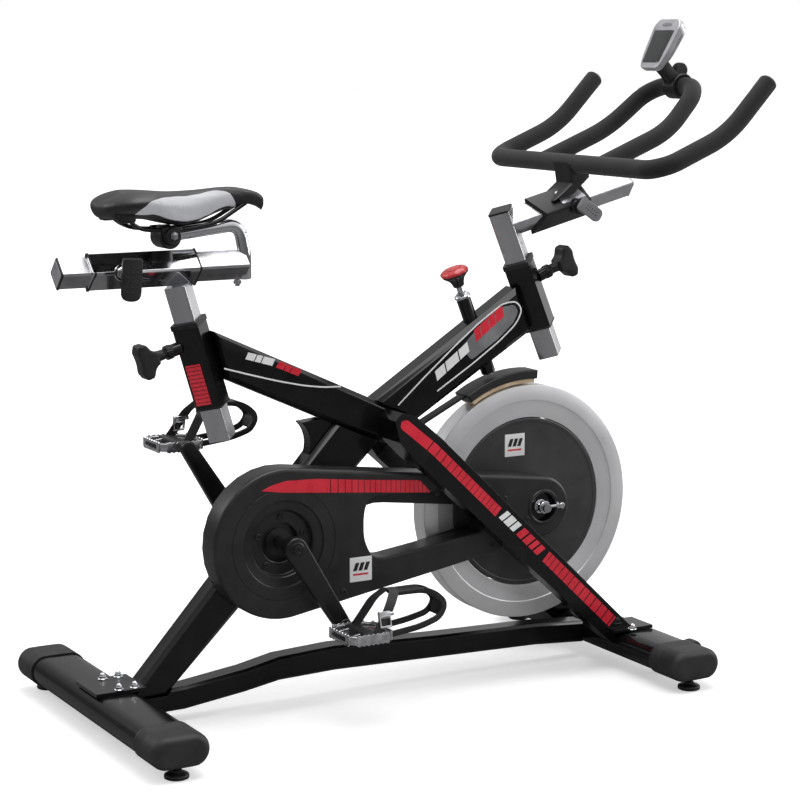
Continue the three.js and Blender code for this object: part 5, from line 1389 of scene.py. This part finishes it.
course3 = np.array([legCourse[0], 0, legCourse[1]])
legStart = np.array([legOrigin[0], 0, legOrigin[1]])
finishes["legStripe"] = tickedFinish("legStripe", legStart - course3 * 0.110, course3, 0.250, 17, 1.5, 0.10, 0.22)
finishes["legStripeLow"] = tickedFinish("legStripeLow", legStart + course3 * 0.275, course3, 0.215, 14, 0.8, 0.12)
finishes["guardStripe"] = tickedFinish("guardStripe", [drawingZero - 0.245, 0, 0], [1, 0, 0], 0.328, 24, 1.7, 0.10,
                                       0.36)
for name, side in sides.items():
    piece("leg_stripe_" + name, [legFilm(-110, 140, -27, -8, side, 60, True)], "root", "legStripe")
    piece("leg_stripe_low_" + name, [legFilm(275, 478, -25, -3, side)], "root", "legStripeLow")
    piece("leg_mark_white_" + name, [legFilm(a, b, -24, -4, side, 6, False, 3) for a, b in
                                     ((150, 160), (163, 178), (181, 192))], "root", "whiteMark")
    piece("leg_mark_red_" + name, [legFilm(a, b, -24, -4, side, 6, False, 3) for a, b in
                                   ((200, 214), (218, 232), (236, 246), (250, 262))], "root", "redMark")
stripe = rounded(drawn([(-245, 396), (-224, 404), (-197, 409), (-140, 407), (-45, 396), (62, 385), (84, 361),
                        (-45, 374), (-140, 383), (-200, 389)]), 0.004, 4)
piece("guard_stripe", [film(stripe, guardFace)], "root", "guardStripe")
tag = drawn([(-77, 262), (-34, 262), (-34, 219), (-77, 219)])
piece("guard_tag", [film(tag, guardFace)], "root", "whiteMark")
tagMarks = [film(drawn(bar), guardFace + filmDepth) for bar in
            slantedBars((-71, 238), (28, 0), (3, 14), [5, 5, 5], 2.2, 0.08)]
piece("guard_tag_bars", tagMarks, "root", "plastic")
piece("guard_tag_line", [film(drawn([(-71, 233), (-41, 233), (-41, 230), (-71, 230)]), guardFace + filmDepth)],
      "root", "redMark")


def onDisc(points):
    # a tag on the disc, drawn in mm from the axle
    return np.asarray(points, float) / 1000 + wheelAt[[0, 2]]


discTag = onDisc([(-46, 127), (-4, 127), (-4, 86), (-46, 86)])
piece("disc_tag", [film(discTag, 0.0180)], "flywheel", "whiteMark")
piece("disc_tag_bars", [film(onDisc(bar), 0.0180 + filmDepth) for bar in
                        slantedBars((-40, 104), (27, 0), (3, 14), [5, 5, 5], 2.2, 0.08)], "flywheel",
      "plastic")
piece("disc_tag_line", [film(onDisc([(-40, 99), (-11, 99), (-11, 96), (-40, 96)]), 0.0180 + filmDepth)], "flywheel",
      "redMark")

# the panel on the rear sleeve's lower face that looks back and to the right
panelNormal = unit(-across - np.cross(across, seatUp))
panelSide = np.cross(seatUp, panelNormal)
finishes["sleevePanel"] = tickedFinish("sleevePanel", seatMiddle - seatUp * 0.060, seatUp, 0.085, 12, 1.0, 0.16)
rows = []
for up in (-0.064, 0.008):
    row = [seatMiddle + seatUp * up + panelNormal * 0.02362 + panelSide * aside for aside in (-0.0180, 0.0090)]
    rows.append(row)
piece("sleeve_panel", [skin(np.array(rows), panelNormal, 0.0008)], "root", "sleevePanel")

# every CAD node has its finish, the hidden ones too

plainNodes = {
    "cap_rubber": "rubber", "chrome": "chrome", "satin_steel": "screwSteel", "black_plastic": "plastic",
    "silver_plastic": "silverPlastic", "red_plastic": "redKnob", "felt": "felt", "foam_grip": "foam",
    "crank_paint": "crankPaint", "saddle_vinyl": "plastic", "guard_plastic": "guard", "disc_paint": "disc",
    "flywheel_steel": "wheelSteel", "belt_rubber": "belt", "frame_paint": "paint",
}
slotOf = {row["node"]: row["material_slot"] for row in frame["record"]["subparts"]}
for name, node in nodes.items():
    node.data.materials.clear()
    node.data.materials.append(finishes[plainNodes[slotOf[name]]])

# studio

camera = bpy.data.objects.new("camera", bpy.data.cameras.new("camera"))
camera.location = (-1.89625, -3.382, 1.142)
camera.rotation_euler = Euler((math.radians(90 - 9.17), 0, math.radians(-29.39)))
camera.data.lens = 100.5
camera.data.sensor_width = 36
bpy.context.scene.collection.objects.link(camera)
bpy.context.scene.camera = camera


def studioFloor():
    # a wide pale floor; away from the cycle it glows up to the white of the backdrop
    mesh = bpy.data.meshes.new("studioFloor")
    mesh.from_pydata([(-40, -40, 0), (40, -40, 0), (40, 40, 0), (-40, 40, 0)], [], [(0, 1, 2, 3)])
    floor = bpy.data.objects.new("studioFloor", mesh)
    bpy.context.scene.collection.objects.link(floor)
    material, tree, shader, place, mapping = startFinish("paleFloor", dict(specular=0.05))
    shader.inputs["Roughness"].default_value = 0.8
    distance = tree.nodes.new("ShaderNodeVectorMath")
    distance.operation = "LENGTH"
    tree.links.new(place.outputs["Object"], distance.inputs[0])
    far = maths(tree, "MULTIPLY", distance.outputs["Value"], 0.25)
    path = tree.nodes.new("ShaderNodeLightPath")
    glow = ramp(tree, far, [(0.1, (0.42, 0.42, 0.42)), (0.5, (1, 1, 1))])
    seen = mixed(tree, path.outputs["Is Camera Ray"], (0.0, 0.0, 0.0), glow)
    tree.links.new(seen, shader.inputs["Emission Color"])
    shader.inputs["Emission Strength"].default_value = 1.0
    drift = noise(tree, mapping.outputs["Vector"], 3)
    pale = ramp(tree, drift, [(0.3, (0.90, 0.90, 0.90)), (0.7, (0.93, 0.93, 0.93))])
    # glossy rays see the floor dark grey instead of pale: painted shade in the reflections it gives on the cycle
    tree.links.new(mixed(tree, path.outputs["Is Glossy Ray"], pale, (0.22, 0.22, 0.22)), shader.inputs["Base Color"])
    mesh.materials.append(material)


studioFloor()

world = bpy.data.worlds.new("studio")
bpy.context.scene.world = world
world.use_nodes = True
sky = world.node_tree
background = sky.nodes["Background"]
ray = sky.nodes.new("ShaderNodeLightPath")
where = sky.nodes.new("ShaderNodeTexCoord")
split = sky.nodes.new("ShaderNodeSeparateXYZ")
sky.links.new(where.outputs["Generated"], split.inputs["Vector"])
height = maths(sky, "MULTIPLY_ADD", split.outputs["Z"], 0.5, 0.5)
studioBands = ramp(sky, height, [(0.40, (0.20, 0.20, 0.20)), (0.52, (0.12, 0.12, 0.12)), (0.62, (0.16, 0.16, 0.16)),
                                 (0.75, (0.42, 0.42, 0.43)), (1.0, (0.80, 0.80, 0.81))])
aside = maths(sky, "MULTIPLY_ADD", split.outputs["X"], 0.5, 0.5)
brightSide = ramp(sky, aside, [(0.42, (0, 0, 0)), (0.74, (0.36, 0.36, 0.36)), (0.86, (0.95, 0.95, 0.95))])
bright = mixed(sky, brightSide, studioBands, (0.95, 0.95, 0.96))
glossy = mixed(sky, ray.outputs["Is Glossy Ray"], (0.42, 0.42, 0.43), bright)
sky.links.new(mixed(sky, ray.outputs["Is Camera Ray"], glossy, (1.0, 1.0, 1.0)), background.inputs["Color"])
background.inputs["Strength"].default_value = 1.0


def softbox(name, place, target, width, depth, power):
    light = bpy.data.lights.new(name, "AREA")
    light.shape = "RECTANGLE"
    light.size, light.size_y = width, depth
    light.energy = power
    holder = bpy.data.objects.new(name, light)
    holder.location = place
    towards = Vector(target) - Vector(place)
    holder.rotation_euler = towards.to_track_quat("-Z", "Y").to_euler()
    bpy.context.scene.collection.objects.link(holder)


softbox("aboveSoftbox", (0.1, -0.1, 3.2), (0, 0, 0.4), 3.0, 2.2, 62)
softbox("frontSoftbox", (3.4, -1.0, 1.7), (0, 0, 0.6), 1.2, 2.4, 34)
softbox("backSoftbox", (-2.6, 2.6, 2.4), (0, 0, 0.6), 1.8, 1.8, 26)
bpy.context.scene.view_settings.view_transform = "Standard"
